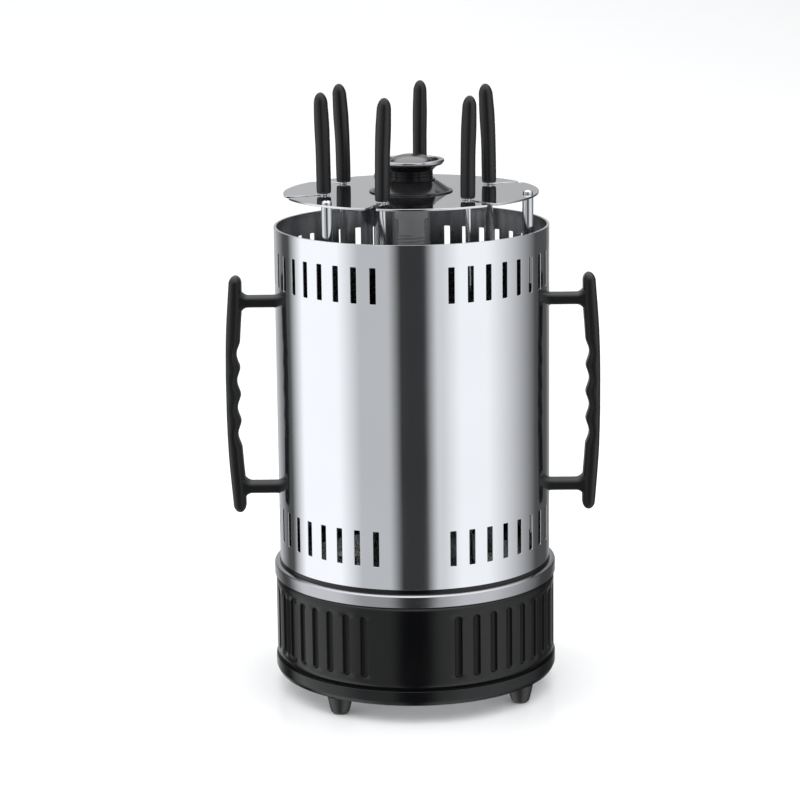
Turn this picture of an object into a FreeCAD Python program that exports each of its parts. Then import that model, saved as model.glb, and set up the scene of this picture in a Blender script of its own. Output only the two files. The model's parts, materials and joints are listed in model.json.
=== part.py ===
import FreeCAD, Part
import math
import os

import Sketcher

os.makedirs("parts", exist_ok=True)

# Vertical skewer grill. All sizes in millimetres, angles in degrees.
# Frame: origin on the floor under the heater axis, +Z up, front towards -Y.
# A station angle is measured from the front (-Y) towards the right (+X).


# ---------------------------------------------------------------- driving sizes
D = dict(
    casing_od=200.0,      # lift-off stainless casing
    casing_wall=1.0,
    casing_tall=247.0,
    foot_tall=13.5,
    base_tall=73.0,       # housing from its lower edge to the seat of the silver ring
    seat_above_ring=2.8,  # dark joint between silver ring and casing
    plate_radius=92.5,
    plate_wall=1.5,
    plate_above_rim=24.0, # top face of the plate above the rim of the casing
    post_circle=86.0,
    bay_middle=78.0,      # middle of the wide bay between two skewer stations
    bay_wide=80.0,
    post_first=76.5,
    skewers=6,
    posts=3,
    module=2.0,
    sun_teeth=45,
    planet_teeth=20,
    pinion_teeth=16,
    pressure_angle=20.0,
    backlash=0.30,
    loose=0.05,           # fixed pieces that only locate one another
    running=0.05,         # radial play of a turning fit
)


def sizes(d):
    """Work out every named size from the driving ones."""
    v = dict(d)
    v["zero"] = 0.0
    # casing
    v["casing_r"] = d["casing_od"] / 2
    v["casing_in"] = v["casing_r"] - d["casing_wall"]
    v["slot_wide"] = 4.5
    v["slot_tall"] = 25.6
    v["slot_inset"] = 16.3
    v["slot_first"] = 15.9
    v["slot_span"] = 180 - 2 * v["slot_first"]
    v["slots_side"] = 19
    v["slot_half"] = v["slot_wide"] / 2
    v["slot_mirror"] = -v["slot_first"]
    v["slot_plane"] = v["casing_in"] - 2.0
    v["slot_cut"] = 5.0
    v["casing_clear"] = v["casing_r"] + 0.02
    v["casing_scoop"] = v["casing_in"] - 0.08
    # heights of the base
    v["base_low"] = d["foot_tall"]
    v["ring_low"] = v["base_low"] + d["base_tall"]
    v["ring_tall"] = 9.1
    v["ring_top"] = v["ring_low"] + v["ring_tall"]
    v["seat_top"] = v["ring_top"] + d["seat_above_ring"]
    v["rim_top"] = v["seat_top"] + d["casing_tall"]
    v["plate_top"] = v["rim_top"] + d["plate_above_rim"]
    v["plate_low"] = v["plate_top"] - d["plate_wall"]
    # base housing
    v["body_r"] = v["casing_r"] + 3.2
    v["flange_r"] = v["body_r"] + 1.0
    v["flange_foot_r"] = v["flange_r"] - 1.4
    v["flange_foot_z"] = v["base_low"] + 3.2
    v["flange_top"] = v["base_low"] + 10.9
    v["groove_r"] = v["body_r"] - 1.0
    v["groove_top"] = v["flange_top"] + 0.8
    v["housing_in"] = v["body_r"] - 4.5
    v["collar_in"] = v["casing_in"] - 2.8
    v["spigot_r"] = v["casing_in"] - 0.5
    v["spigot_top"] = v["seat_top"] + 5.0
    v["deck_low"] = v["ring_low"] - 7.5
    v["ledge_in"] = v["collar_in"] - 4.2
    v["ledge_low"] = v["deck_low"] - 3.0
    v["ledge_foot"] = v["ledge_low"] - (v["housing_in"] - v["ledge_in"])
    # flutes round the housing
    v["flute_wide"] = 6.4
    v["flute_low"] = v["base_low"] + 18.8
    v["flute_top"] = v["base_low"] + 65.3
    v["flute_deep"] = 2.2
    v["flute_floor"] = v["body_r"] - v["flute_deep"]
    v["flute_cut"] = v["flute_deep"] + 2.0
    v["flute_gap"] = 19.1
    v["flute_turn"] = -1.9
    v["flute_right"] = v["flute_turn"] + v["flute_gap"]
    v["flute_left"] = v["flute_turn"] - v["flute_gap"]
    v["flute_span"] = 180 - 2 * v["flute_gap"]
    v["flutes_side"] = 19
    # silver ring
    v["ring_in"] = v["casing_r"] + 0.25
    v["ring_edge_z"] = v["ring_top"] - 1.4
    v["ring_edge_r"] = v["flange_r"] - 0.7
    v["ring_slope_r"] = v["ring_in"] + 1.3
    v["ring_bevel_z"] = v["ring_top"] - 0.5
    # feet and their screws
    v["feet"] = 4
    v["foot_first"] = -36.0
    v["foot_circle"] = 93.8
    v["foot_top_r"] = 9.6
    v["foot_waist_r"] = 7.6
    v["foot_waist_z"] = 4.6
    v["foot_toe_r"] = 6.7
    v["foot_toe_z"] = 1.6
    v["foot_pad_r"] = 5.2
    v["foot_bore_r"] = 3.6
    v["foot_bore_z"] = 6.0
    v["screw_r"] = 1.7
    v["screw_hole_r"] = v["screw_r"] + d["loose"]
    v["screw_head_r"] = 3.2
    v["screw_head"] = 2.2
    v["foot_screw_top"] = v["base_low"] + 14.0
    # floor plate and chassis plate
    v["floor_r"] = v["housing_in"] - 0.5
    v["floor_top"] = v["base_low"] + 1.5
    v["vent_r"] = 3.0
    v["vent_circle"] = 60.0
    v["vents"] = 16
    v["boss_r"] = 6.0
    v["chassis_low"] = v["base_low"] + 32.5
    v["chassis_top"] = v["chassis_low"] + 1.5
    v["chassis_screw_low"] = v["chassis_low"] - 9.0
    # gear train
    v["gear_low"] = v["chassis_top"] + 4.5
    v["gear_tall"] = 8.0
    v["gear_top"] = v["gear_low"] + v["gear_tall"]
    v["sun_r"] = d["module"] * d["sun_teeth"] / 2
    v["planet_r"] = d["module"] * d["planet_teeth"] / 2
    v["pinion_r"] = d["module"] * d["pinion_teeth"] / 2
    v["skewer_circle"] = v["sun_r"] + v["planet_r"]
    v["motor_circle"] = v["sun_r"] + v["pinion_r"]
    v["pillar_r"] = 14.0
    v["pillar_in"] = 10.0
    v["pillar_flange_r"] = 22.0
    v["pillar_flange_top"] = v["chassis_top"] + 2.5
    v["sun_bore_r"] = v["pillar_r"] + d["running"]
    v["sun_hub_r"] = 20.0
    v["sun_hub_low"] = v["pillar_flange_top"] + 0.1
    v["sun_hub_top"] = v["gear_top"] + 2.0
    v["sun_hole_r"] = 5.5
    v["sun_hole_circle"] = 31.0
    v["sun_holes"] = 6
    v["clip_low"] = v["sun_hub_top"] + 0.1
    v["clip_top"] = v["clip_low"] + 1.0
    v["clip_in"] = v["pillar_r"] - 0.7
    v["clip_r"] = v["pillar_r"] + 3.0
    v["clip_seat_r"] = v["clip_in"] - d["loose"]
    v["clip_seat_top"] = v["clip_top"] + 0.1
    v["clip_gap"] = 6.0
    v["axle_r"] = 3.0
    v["axle_hole_r"] = v["axle_r"] + 0.02
    v["axle_top"] = v["gear_low"] + 2.5
    v["planet_bore_r"] = v["axle_r"] + d["running"]
    v["planet_bore_top"] = v["axle_top"] + 0.4
    v["planet_low"] = v["chassis_top"] + 0.1
    v["planet_hub_r"] = 9.0
    v["planet_foot_r"] = 6.0
    v["socket_low"] = v["planet_bore_top"] + 2.5
    v["hub_top"] = v["ring_low"] - 0.5
    # motor hung under the chassis plate
    v["motor_r"] = 24.5
    v["motor_low"] = v["chassis_low"] - 22.0
    v["bush_r"] = 5.0
    v["bush_top"] = v["chassis_top"] + 2.0
    v["bush_hole_r"] = v["bush_r"] + 0.4
    v["shaft_r"] = 3.5
    v["shaft_low"] = v["motor_low"] + 6.0
    v["shaft_top"] = v["gear_top"] + 1.5
    v["shaft_bore_r"] = v["shaft_r"] + d["running"]
    v["shaft_bore_low"] = v["shaft_low"] - 0.5
    v["pinion_bore_r"] = v["shaft_r"] + 0.02
    v["motor_screw_reach"] = 17.0
    v["motor_screw_low"] = v["chassis_low"] - 6.0
    v["motor_screw_pit"] = v["motor_screw_low"] - 1.0
    # deck
    v["deck_r"] = v["collar_in"] - 0.4
    v["deck_top"] = v["deck_low"] + 1.0
    v["deck_lip_in"] = v["deck_r"] - 1.0
    v["deck_lip_top"] = v["deck_top"] + 9.0
    v["deck_hole_r"] = v["planet_hub_r"] + 0.6
    v["deck_neck_r"] = v["deck_hole_r"] + 1.0
    v["deck_neck_top"] = v["hub_top"] - 1.5
    v["deck_mid_r"] = v["pillar_in"] - 0.4
    v["deck_mid_low"] = v["deck_low"] - 6.0
    # posts, top plate
    v["post_r"] = 4.0
    v["tap_r"] = 2.0 + d["loose"]
    v["tap_deep"] = 12.0
    v["stud_r"] = 2.0
    v["stud_reach"] = 10.0
    v["dome_r"] = 3.7
    v["dome_tall"] = 2.6
    v["slit_wide"] = 5.2
    v["slit_mouth"] = 9.0
    v["slit_mouth_in"] = d["plate_radius"] - 6.5
    v["slit_end"] = d["plate_radius"] + 2.0
    v["slit_half"] = v["slit_wide"] / 2
    v["slit_mouth_half"] = v["slit_mouth"] / 2
    v["eye_r"] = 4.2
    # heater
    v["tube_r"] = 13.7
    v["tube_in"] = 12.2
    v["tube_low"] = v["deck_top"] + 6.0
    v["tube_top"] = v["plate_low"] - 12.0
    v["core_r"] = 9.2
    v["core_low"] = v["deck_top"] + 1.2
    v["core_top"] = v["tube_top"] - 2.5
    v["socket_r"] = 17.0
    v["socket_top"] = v["deck_top"] + 17.0
    v["socket_tube_r"] = v["tube_r"] + 0.1
    v["socket_core_r"] = v["core_r"] + 0.2
    v["socket_floor"] = v["deck_top"] + 1.0
    v["lead_r"] = 2.0
    v["coil_wire_r"] = 0.6
    v["coil_r"] = v["core_r"] + v["coil_wire_r"] + 0.05
    v["coil_low"] = v["socket_top"] + 2.0
    v["coil_tall"] = v["tube_top"] - 18.0 - v["coil_low"]
    v["coil_turns"] = 28
    v["coil_pitch"] = v["coil_tall"] / v["coil_turns"]
    v["cap_plug_r"] = v["tube_in"] - 0.2
    v["cap_plug_low"] = v["tube_top"] - 6.0
    v["cap_low"] = v["tube_top"] + 0.2
    v["cap_core_r"] = v["core_r"] + 0.2
    v["cap_core_top"] = v["core_top"] + 0.3
    # knob on the plate
    v["knob_stud_r"] = 3.0
    v["knob_stud_bore"] = v["knob_stud_r"] + d["loose"]
    v["knob_stud_low"] = v["plate_low"] - 7.0
    v["knob_stud_pit"] = v["knob_stud_low"] - 0.5
    v["saucer_r"] = 30.3
    v["saucer_lip"] = v["plate_top"] + 1.0
    v["saucer_lip_in"] = v["saucer_r"] - 1.6
    v["saucer_neck_r"] = 18.6
    v["saucer_neck_z"] = v["plate_top"] + 8.0
    v["saucer_in"] = 16.3
    v["saucer_under_r"] = v["saucer_lip_in"] - 1.4
    v["saucer_under_z"] = v["saucer_neck_z"] - 1.2
    v["grip_foot_r"] = v["saucer_in"] - 0.5
    v["grip_collar_low"] = v["saucer_neck_z"] + 0.05
    v["grip_collar_r"] = 17.6
    v["grip_waist_r"] = 16.0
    v["grip_waist_low"] = v["saucer_neck_z"] + 1.2
    v["grip_waist_top"] = v["plate_top"] + 15.5
    v["grip_flare_r"] = 19.0
    v["grip_flare_z"] = v["plate_top"] + 18.3
    v["grip_edge_r"] = 23.0
    v["grip_edge_z"] = v["plate_top"] + 19.8
    v["grip_dish_z"] = v["plate_top"] + 19.6
    v["grip_dish_r"] = 19.6
    v["grip_seat_z"] = v["plate_top"] + 20.8
    v["band_r"] = 24.4
    v["band_in"] = 20.2
    v["band_low_r"] = v["band_r"] - 0.7
    v["band_edge_r"] = v["band_r"] - 0.4
    v["band_slope_z"] = v["plate_top"] + 21.8
    v["band_top"] = v["plate_top"] + 23.2
    v["crown_stem_r"] = 12.0
    v["crown_r"] = 15.6
    v["crown_edge"] = v["grip_dish_z"] + 1.2
    v["crown_top"] = v["plate_top"] + 27.0
    # lifting handles of the casing
    v["handle_mid"] = v["base_low"] + 206.3
    v["handle_half"] = 88.5
    v["handle_arm"] = 69.7
    v["handle_arm_half"] = 4.1
    v["handle_in"] = 126.6
    v["handle_end_in"] = v["handle_in"] - 2.2
    v["handle_out"] = 137.5
    v["handle_foot"] = v["casing_r"] - 1.0
    v["handle_tip"] = 84.0
    v["handle_end_out"] = v["handle_out"] - 3.7
    v["handle_tip_in"] = v["handle_end_in"] + 2.6
    v["handle_tip_out"] = v["handle_end_out"] - 2.6
    v["handle_bow"] = 48.0
    v["handle_bow_out"] = v["handle_out"] - 1.0
    v["handle_flat"] = 20.0
    v["handle_wide"] = 17.0
    v["fingers"] = 4
    v["finger_r"] = 14.0
    v["finger_pitch"] = 20.0
    v["finger_deep"] = 2.5
    v["handle_tap_r"] = 1.6
    v["handle_tap_end"] = v["casing_r"] + 14.0
    v["handle_screw_r"] = 1.5
    v["handle_screw_end"] = v["casing_r"] + 12.0
    v["handle_screw_head_r"] = 3.4
    v["handle_screw_in"] = v["casing_in"] - 1.8
    # skewers
    v["blade_wide"] = 6.5
    v["blade_wall"] = 1.5
    v["blade_tip"] = v["socket_low"] + 0.5
    v["blade_shoulder"] = v["blade_tip"] + 9.0
    v["blade_top"] = v["plate_low"] - 6.0
    v["blade_half"] = v["blade_wide"] / 2
    v["socket_wall"] = v["blade_wall"] + 0.2
    v["neck_r"] = 2.3
    v["neck_low"] = v["blade_top"] - 3.0
    v["grip_low"] = v["plate_top"] + 1.5
    v["tang_top"] = v["grip_low"] + 30.0
    v["tang_bore_r"] = v["neck_r"] + d["loose"]
    v["tang_bore_top"] = v["tang_top"] + 0.5
    # rings of the black skewer handle: height, half widths, offset of its middle
    rings = ((0.0, 5.0, 4.9, 0.0), (2.0, 5.3, 5.2, 0.0), (30.0, 5.4, 5.2, 0.4), (50.0, 5.6, 5.3, 1.3),
             (63.0, 5.2, 4.9, 2.0), (69.0, 4.0, 3.8, 2.3), (72.5, 1.6, 1.5, 2.4))
    v["grip_rings"] = len(rings)
    for k, (height, along, across, offset) in enumerate(rings):
        v["grip_%d_z" % k], v["grip_%d_a" % k] = height, along
        v["grip_%d_b" % k], v["grip_%d_x" % k] = across, offset
    # power inlet in the back of the housing, terminal block, thermal cut-out
    v["inlet_half"] = 12.0
    v["inlet_low"] = v["flange_top"] + 3.0
    v["inlet_tall"] = 15.0
    v["inlet_back"] = v["body_r"] - 1.6
    v["inlet_deep"] = 20.0
    v["inlet_front"] = v["inlet_back"] - v["inlet_deep"]
    v["inlet_play"] = 0.2
    v["inlet_wall"] = 2.0
    v["inlet_pit"] = 13.0
    v["pin_r"] = 1.2
    v["pin_reach"] = 4.3
    v["pin_long"] = 10.0
    v["block_x"] = -46.0
    v["block_y"] = 26.0
    v["block_long"] = 34.0
    v["block_wide"] = 15.0
    v["block_tall"] = 13.0
    v["block_ways"] = 3
    v["cutout_r"] = 8.0
    v["cutout_circle"] = 34.0
    v["cutout_turn"] = 10.0
    v["cutout_low"] = v["deck_low"] - 7.0
    return v


V = sizes(D)


def polar(circle, angle):
    """Centre of a station: distance from the axis and angle from the front."""
    a = math.radians(angle)
    return circle * math.sin(a), -circle * math.cos(a)


def mesh_turn(angle, teeth, want):
    """Turn of a gear that meshes with the sun gear and comes nearest to a wanted turn."""
    sun_pitch, own_pitch = 360.0 / V["sun_teeth"], 360.0 / teeth
    bearing = angle - 90.0
    lag = -(bearing % sun_pitch)
    turn = bearing + 180.0 - own_pitch / 2 - lag * V["sun_teeth"] / teeth
    return turn + own_pitch * round((want - turn) / own_pitch)


# stations: the wide bay takes the right-hand post and the motor below it
STEP = (360.0 - V["bay_wide"]) / (V["skewers"] - 1)
STATIONS = [V["bay_middle"] - V["bay_wide"] / 2 - i * STEP for i in range(int(V["skewers"]))]
# turn of each skewer about its own axis as the grill stands (0 leans its handle towards +X)
LEANS = [-58.0, -40.0, -127.0, -165.0, -75.0, 165.0]
for i, (angle, lean) in enumerate(zip(STATIONS, LEANS), 1):
    V["station_%d_x" % i], V["station_%d_y" % i] = polar(V["skewer_circle"], angle)
    V["station_%d_turn" % i] = mesh_turn(angle, V["planet_teeth"], lean)
for i in range(1, int(V["posts"]) + 1):
    x, y = polar(V["post_circle"], V["post_first"] + (i - 1) * 360.0 / V["posts"])
    V["post_%d_x" % i], V["post_%d_y" % i] = x, y
for i in range(1, int(V["feet"]) + 1):
    x, y = polar(V["foot_circle"], V["foot_first"] + (i - 1) * 360.0 / V["feet"])
    V["foot_%d_x" % i], V["foot_%d_y" % i] = x, y
V["motor_x"], V["motor_y"] = polar(V["motor_circle"], V["bay_middle"])
V["motor_turn"] = mesh_turn(V["bay_middle"], V["pinion_teeth"], 0.0)
V["motor_screw_1_x"], V["motor_screw_1_y"] = V["motor_x"], V["motor_y"] + V["motor_screw_reach"]
V["motor_screw_2_x"], V["motor_screw_2_y"] = V["motor_x"], V["motor_y"] - V["motor_screw_reach"]
V["cutout_x"], V["cutout_y"] = polar(V["cutout_circle"], V["cutout_turn"])

doc = FreeCAD.newDocument("skewer_grill")
sheet = doc.addObject("Spreadsheet::Sheet", "Sizes")
for row, (name, size) in enumerate(V.items(), 1):
    sheet.set("A%d" % row, name)
    sheet.set("B%d" % row, "%.9g" % size)
    sheet.setAlias("B%d" % row, name)
doc.recompute()

UP = FreeCAD.Vector(0, 0, 1)
FLANK_STEPS = 5   # straight pieces to each side of a gear tooth
NODES = {}


# ---------------------------------------------------------------- building blocks
def value(text):
    """Number for a sum of named sizes such as "plate_top - plate_wall"."""
    total, sign = 0.0, 1
    for word in text.split():
        if word in "+-":
            sign = -1 if word == "-" else 1
        else:
            total += sign * V[word]
            sign = 1
    return total


def formula(text):
    """The same sum as a spreadsheet expression."""
    return " ".join(w if w in "+-" else "Sizes." + w for w in text.split())


def bind(obj, **cells):
    """Tie properties of a document object to the sheet."""
    for name, text in cells.items():
        obj.setExpression(name.replace("__", "."), formula(text))


def stand(obj, z="zero", at=None, turn=None):
    """Set an object down at a height, at a named station, turned about its own axis."""
    spot = FreeCAD.Vector(value(at + "_x") if at else 0, value(at + "_y") if at else 0, value(z))
    obj.Placement = FreeCAD.Placement(spot, FreeCAD.Rotation(UP, value(turn) if turn else 0))
    if z != "zero":
        obj.setExpression("Placement.Base.z", formula(z))
    if at:
        obj.setExpression("Placement.Base.x", formula(at + "_x"))
        obj.setExpression("Placement.Base.y", formula(at + "_y"))
    if turn:
        obj.setExpression("Placement.Rotation.Angle", formula(turn))
    return obj


def rod(name, radius, low, high, at=None):
    """Upright cylinder between two heights."""
    obj = doc.addObject("Part::Cylinder", name)
    bind(obj, Radius=radius)
    obj.setExpression("Height", "%s - (%s)" % (formula(high), formula(low)))
    return stand(obj, low, at)


def block(name, long, wide, tall):
    """Box whose corner is at the origin of its own placement."""
    obj = doc.addObject("Part::Box", name)
    bind(obj, Length=long, Width=wide, Height=tall)
    return obj


def cut(name, base, tools):
    """Base less every tool."""
    obj = doc.addObject("Part::Cut", name)
    obj.Base = base
    obj.Tool = tools[0] if len(tools) == 1 else join(name + "_tools", tools)
    return obj


def join(name, parts):
    """One solid from several that overlap."""
    obj = doc.addObject("Part::MultiFuse", name)
    obj.Shapes = parts
    return obj


def group(name, parts):
    """Identical separate solids kept as one node."""
    obj = doc.addObject("Part::Compound", name)
    obj.Links = parts
    return obj


def node(name, obj):
    """Register a finished sub-part under its file name."""
    obj.Label = name
    NODES[name] = obj
    return obj


def plane(body, role):
    """One of a body's own origin planes or axes."""
    return next(f for f in body.Origin.OriginFeatures if f.Role == role)


def outline(body, name, role, points):
    """Closed sketch of straight edges, every corner tied to named sizes.

    The corner coordinates are sums of sheet names, measured from the body origin."""
    sk = body.newObject("Sketcher::SketchObject", name)
    sk.AttachmentSupport = [(plane(body, role), "")]
    sk.MapMode = "FlatFace"
    doc.recompute()
    spots = [FreeCAD.Vector(value(u), value(w), 0) for u, w in points]
    n = len(spots)
    for i in range(n):
        sk.addGeometry(Part.LineSegment(spots[i], spots[(i + 1) % n]), False)
    for i in range(n):
        sk.addConstraint(Sketcher.Constraint("Coincident", i, 2, (i + 1) % n, 1))
    for i, (u, w) in enumerate(points):
        for kind, text in (("DistanceX", u), ("DistanceY", w)):
            k = sk.addConstraint(Sketcher.Constraint(kind, -1, 1, i, 1, value(text)))
            sk.setExpression("Constraints[%d]" % k, formula(text))
    doc.recompute()
    return sk


def turned(name, points, at=None):
    """Body turned about its own upright axis from a half section of (radius, height)."""
    body = doc.addObject("PartDesign::Body", name)
    sk = outline(body, name + "_section", "XZ_Plane", points)
    rev = body.newObject("PartDesign::Revolution", name + "_turn")
    rev.Profile = sk
    rev.ReferenceAxis = (plane(body, "Z_Axis"), [""])
    rev.Angle = 360
    sk.Visibility = False
    doc.recompute()
    return stand(body, at=at) if at else body


def slab(name, role, points, thick):
    """Body padded evenly to both sides of one of its origin planes."""
    body = doc.addObject("PartDesign::Body", name)
    pad = body.newObject("PartDesign::Pad", name + "_pad")
    pad.Profile = outline(body, name + "_outline", role, points)
    pad.Midplane = True
    bind(pad, Length=thick)
    doc.recompute()
    return body


def rake(sk, angle, reach):
    """Swing a sketch on the front plane to a station angle and move it out to a radius."""
    a = math.radians(value(angle))
    d = value(reach)
    spot = FreeCAD.Vector(d * math.sin(a), 0, d * math.cos(a))
    turn = FreeCAD.Rotation(FreeCAD.Vector(0, 1, 0), value(angle))
    sk.AttachmentOffset = FreeCAD.Placement(spot, turn)
    aim = formula(angle)
    sk.setExpression("AttachmentOffset.Rotation.Angle", aim)
    sk.setExpression("AttachmentOffset.Base.x", "%s * sin(%s * 1deg)" % (formula(reach), aim))
    sk.setExpression("AttachmentOffset.Base.z", "%s * cos(%s * 1deg)" % (formula(reach), aim))


def sweep_round(body, pocket, span, count, name, back):
    """Repeat a pocket round the body's axis over a span of angles."""
    pat = body.newObject("PartDesign::PolarPattern", name)
    pat.Originals = [pocket]
    pat.Axis = (plane(body, "Z_Axis"), [""])
    pat.Reversed = back
    bind(pat, Angle=span, Occurrences=count)
    body.Tip = pat
    doc.recompute()


def toothed(name, teeth, low, at=None, turn=None):
    """Spur gear blank with involute flanks and a little backlash."""
    count, pitch_r = int(V[teeth]), V["module"] * V[teeth] / 2
    lean = math.radians(V["pressure_angle"])
    base_r, tip_r, root_r = pitch_r * math.cos(lean), pitch_r + V["module"], pitch_r - 1.25 * V["module"]

    def involute(radius):
        roll = math.acos(min(1.0, base_r / radius))
        return math.tan(roll) - roll

    half = math.pi / (2 * count) - V["backlash"] / (4 * pitch_r) + involute(pitch_r)
    start = max(base_r, root_r)
    rise = [start + (tip_r - start) * k / FLANK_STEPS for k in range(FLANK_STEPS + 1)]
    flank = [(root_r, half - involute(start))] + [(r, half - involute(r)) for r in rise]
    corners = []
    for i in range(count):
        mid = 2 * math.pi * i / count
        for r, a in [(r, -a) for r, a in flank] + [(r, a) for r, a in reversed(flank)]:
            spot = FreeCAD.Vector(r * math.cos(mid + a), r * math.sin(mid + a), 0)
            if not corners or (spot - corners[-1]).Length > 1e-6:
                corners.append(spot)
    face = Part.Face(Part.makePolygon(corners + [corners[0]]))
    obj = doc.addObject("Part::Feature", name)
    obj.Shape = face.extrude(FreeCAD.Vector(0, 0, V["gear_tall"]))
    return stand(obj, low, at, turn)


def around(count, circle, name, radius, low, high):
    """Ring of equal upright cylinders."""
    made = []
    for i in range(int(V[count])):
        obj = rod("%s_%d" % (name, i + 1), radius, low, high)
        x, y = polar(V[circle], 360.0 * i / V[count])
        obj.Placement.Base.x, obj.Placement.Base.y = x, y
        made.append(obj)
    return made


def screws(name, stations, head_r, shank_r, faces):
    """Group of headed screws; faces are the heights of shank end, head seat and head end."""
    end, seat, crown = faces
    made = []
    for at in stations:
        up = value(crown) > value(seat)
        head = rod("%s_%s_head" % (name, at), head_r, seat if up else crown, crown if up else seat, at)
        shank = rod("%s_%s_shank" % (name, at), shank_r, end if up else seat, seat if up else end, at)
        made.append(join("%s_%s" % (name, at), [head, shank]))
    return node(name, group(name + "_set", made))


def named(stem, count):
    """Station names stem_1 to stem_count."""
    return ["%s_%d" % (stem, i + 1) for i in range(int(V[count]))]


POSTS, FEET, SPITS = named("post", "posts"), named("foot", "feet"), named("station", "skewers")
MOTOR_SCREWS = ["motor_screw_1", "motor_screw_2"]


# ---------------------------------------------------------------- base housing
def base_housing():
    """Moulded housing: fluted wall, skirt, casing seat, deck ledge and four bosses."""
    body = turned("housing_wall", [
        ("housing_in", "base_low"), ("flange_foot_r", "base_low"), ("flange_r", "flange_foot_z"),
        ("flange_r", "flange_top"), ("groove_r", "flange_top"), ("groove_r", "groove_top"),
        ("body_r", "groove_top"), ("body_r", "ring_low"), ("casing_r", "ring_low"),
        ("casing_r", "seat_top"), ("spigot_r", "seat_top"), ("spigot_r", "spigot_top"),
        ("collar_in", "spigot_top"), ("collar_in", "deck_low"), ("ledge_in", "deck_low"),
        ("ledge_in", "ledge_low"), ("housing_in", "ledge_foot")])
    for side, start, back in (("right", "flute_right", False), ("left", "flute_left", True)):
        sk = body.newObject("Sketcher::SketchObject", "flute_" + side)
        sk.AttachmentSupport = [(plane(body, "XZ_Plane"), "")]
        sk.MapMode = "FlatFace"
        rake(sk, start, "flute_floor")
        half = V["flute_wide"] / 2
        low, top = V["flute_low"] + half, V["flute_top"] - half
        across = FreeCAD.Vector(0, 0, 1)
        mid_low, mid_top = FreeCAD.Vector(0, low, 0), FreeCAD.Vector(0, top, 0)
        sk.addGeometry(Part.ArcOfCircle(Part.Circle(mid_low, across, half), math.pi, 2 * math.pi), False)
        sk.addGeometry(Part.ArcOfCircle(Part.Circle(mid_top, across, half), 0, math.pi), False)
        sk.addGeometry(Part.LineSegment(FreeCAD.Vector(half, low, 0), FreeCAD.Vector(half, top, 0)), False)
        sk.addGeometry(Part.LineSegment(FreeCAD.Vector(-half, top, 0), FreeCAD.Vector(-half, low, 0)), False)
        for a, b, c, d in ((0, 2, 2, 1), (2, 2, 1, 1), (1, 2, 3, 1), (3, 2, 0, 1)):
            sk.addConstraint(Sketcher.Constraint("Tangent", a, b, c, d))
        sk.addConstraint(Sketcher.Constraint("PointOnObject", 0, 3, -2))
        sk.addConstraint(Sketcher.Constraint("PointOnObject", 1, 3, -2))
        sk.addConstraint(Sketcher.Constraint("Equal", 0, 1))
        for geo, length, text in ((0, low, "Sizes.flute_low + Sizes.flute_wide / 2"),
                                  (1, top, "Sizes.flute_top - Sizes.flute_wide / 2")):
            k = sk.addConstraint(Sketcher.Constraint("DistanceY", -1, 1, geo, 3, length))
            sk.setExpression("Constraints[%d]" % k, text)
        k = sk.addConstraint(Sketcher.Constraint("Radius", 0, half))
        sk.setExpression("Constraints[%d]" % k, "Sizes.flute_wide / 2")
        doc.recompute()
        before = body.Shape.Volume
        pocket = body.newObject("PartDesign::Pocket", "flute_cut_" + side)
        pocket.Profile = sk
        pocket.Reversed = True
        bind(pocket, Length="flute_cut")
        doc.recompute()
        if not before > body.Shape.Volume:
            raise RuntimeError("flute pocket removed nothing")
        sweep_round(body, pocket, "flute_span", "flutes_side", "flutes_" + side, back)
    bosses = [rod("boss_" + at, "boss_r", "floor_top", "chassis_low", at) for at in FEET]
    pilots = [rod("pilot_" + at, "screw_hole_r", "base_low", "chassis_low", at) for at in FEET]
    port = doc.addObject("Part::Box", "inlet_port")
    bind(port, Length="inlet_half + inlet_half + inlet_play + inlet_play",
         Width="inlet_deep + inlet_deep", Height="inlet_tall + inlet_play + inlet_play")
    port.Placement.Base = FreeCAD.Vector(-V["inlet_half"] - V["inlet_play"], V["inlet_front"],
                                         V["inlet_low"] - V["inlet_play"])
    whole = join("housing_whole", [body] + bosses)
    node("base_housing", cut("housing_done", whole, pilots + [port]))


def trim_ring():
    """Silver ring round the top of the housing."""
    node("trim_ring", turned("trim_ring_body", [
        ("ring_in", "ring_low"), ("flange_r", "ring_low"), ("flange_r", "ring_edge_z"),
        ("ring_edge_r", "ring_bevel_z"), ("ring_slope_r", "ring_top"), ("ring_in", "ring_top")]))


def feet():
    """Four tapered feet, each held by a screw sunk in its sole."""
    for i, at in enumerate(FEET, 1):
        node("foot_%d" % i, turned("foot_body_%d" % i, [
            ("screw_hole_r", "foot_bore_z"), ("foot_bore_r", "foot_bore_z"), ("foot_bore_r", "zero"),
            ("foot_pad_r", "zero"), ("foot_toe_r", "foot_toe_z"), ("foot_waist_r", "foot_waist_z"),
            ("foot_top_r", "base_low"), ("screw_hole_r", "base_low")], at))
    screws("foot_screws", FEET, "screw_head_r", "screw_r",
           ("foot_screw_top", "foot_bore_z", "foot_bore_z - screw_head"))


def floor_plate():
    """Closing plate under the housing, with vents."""
    disc = rod("floor_disc", "floor_r", "base_low", "floor_top")
    holes = [rod("floor_hole_" + at, "screw_hole_r", "base_low", "floor_top", at) for at in FEET]
    vents = around("vents", "vent_circle", "floor_vent", "vent_r", "base_low", "floor_top")
    node("floor_plate", cut("floor_done", disc, holes + vents))


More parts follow.
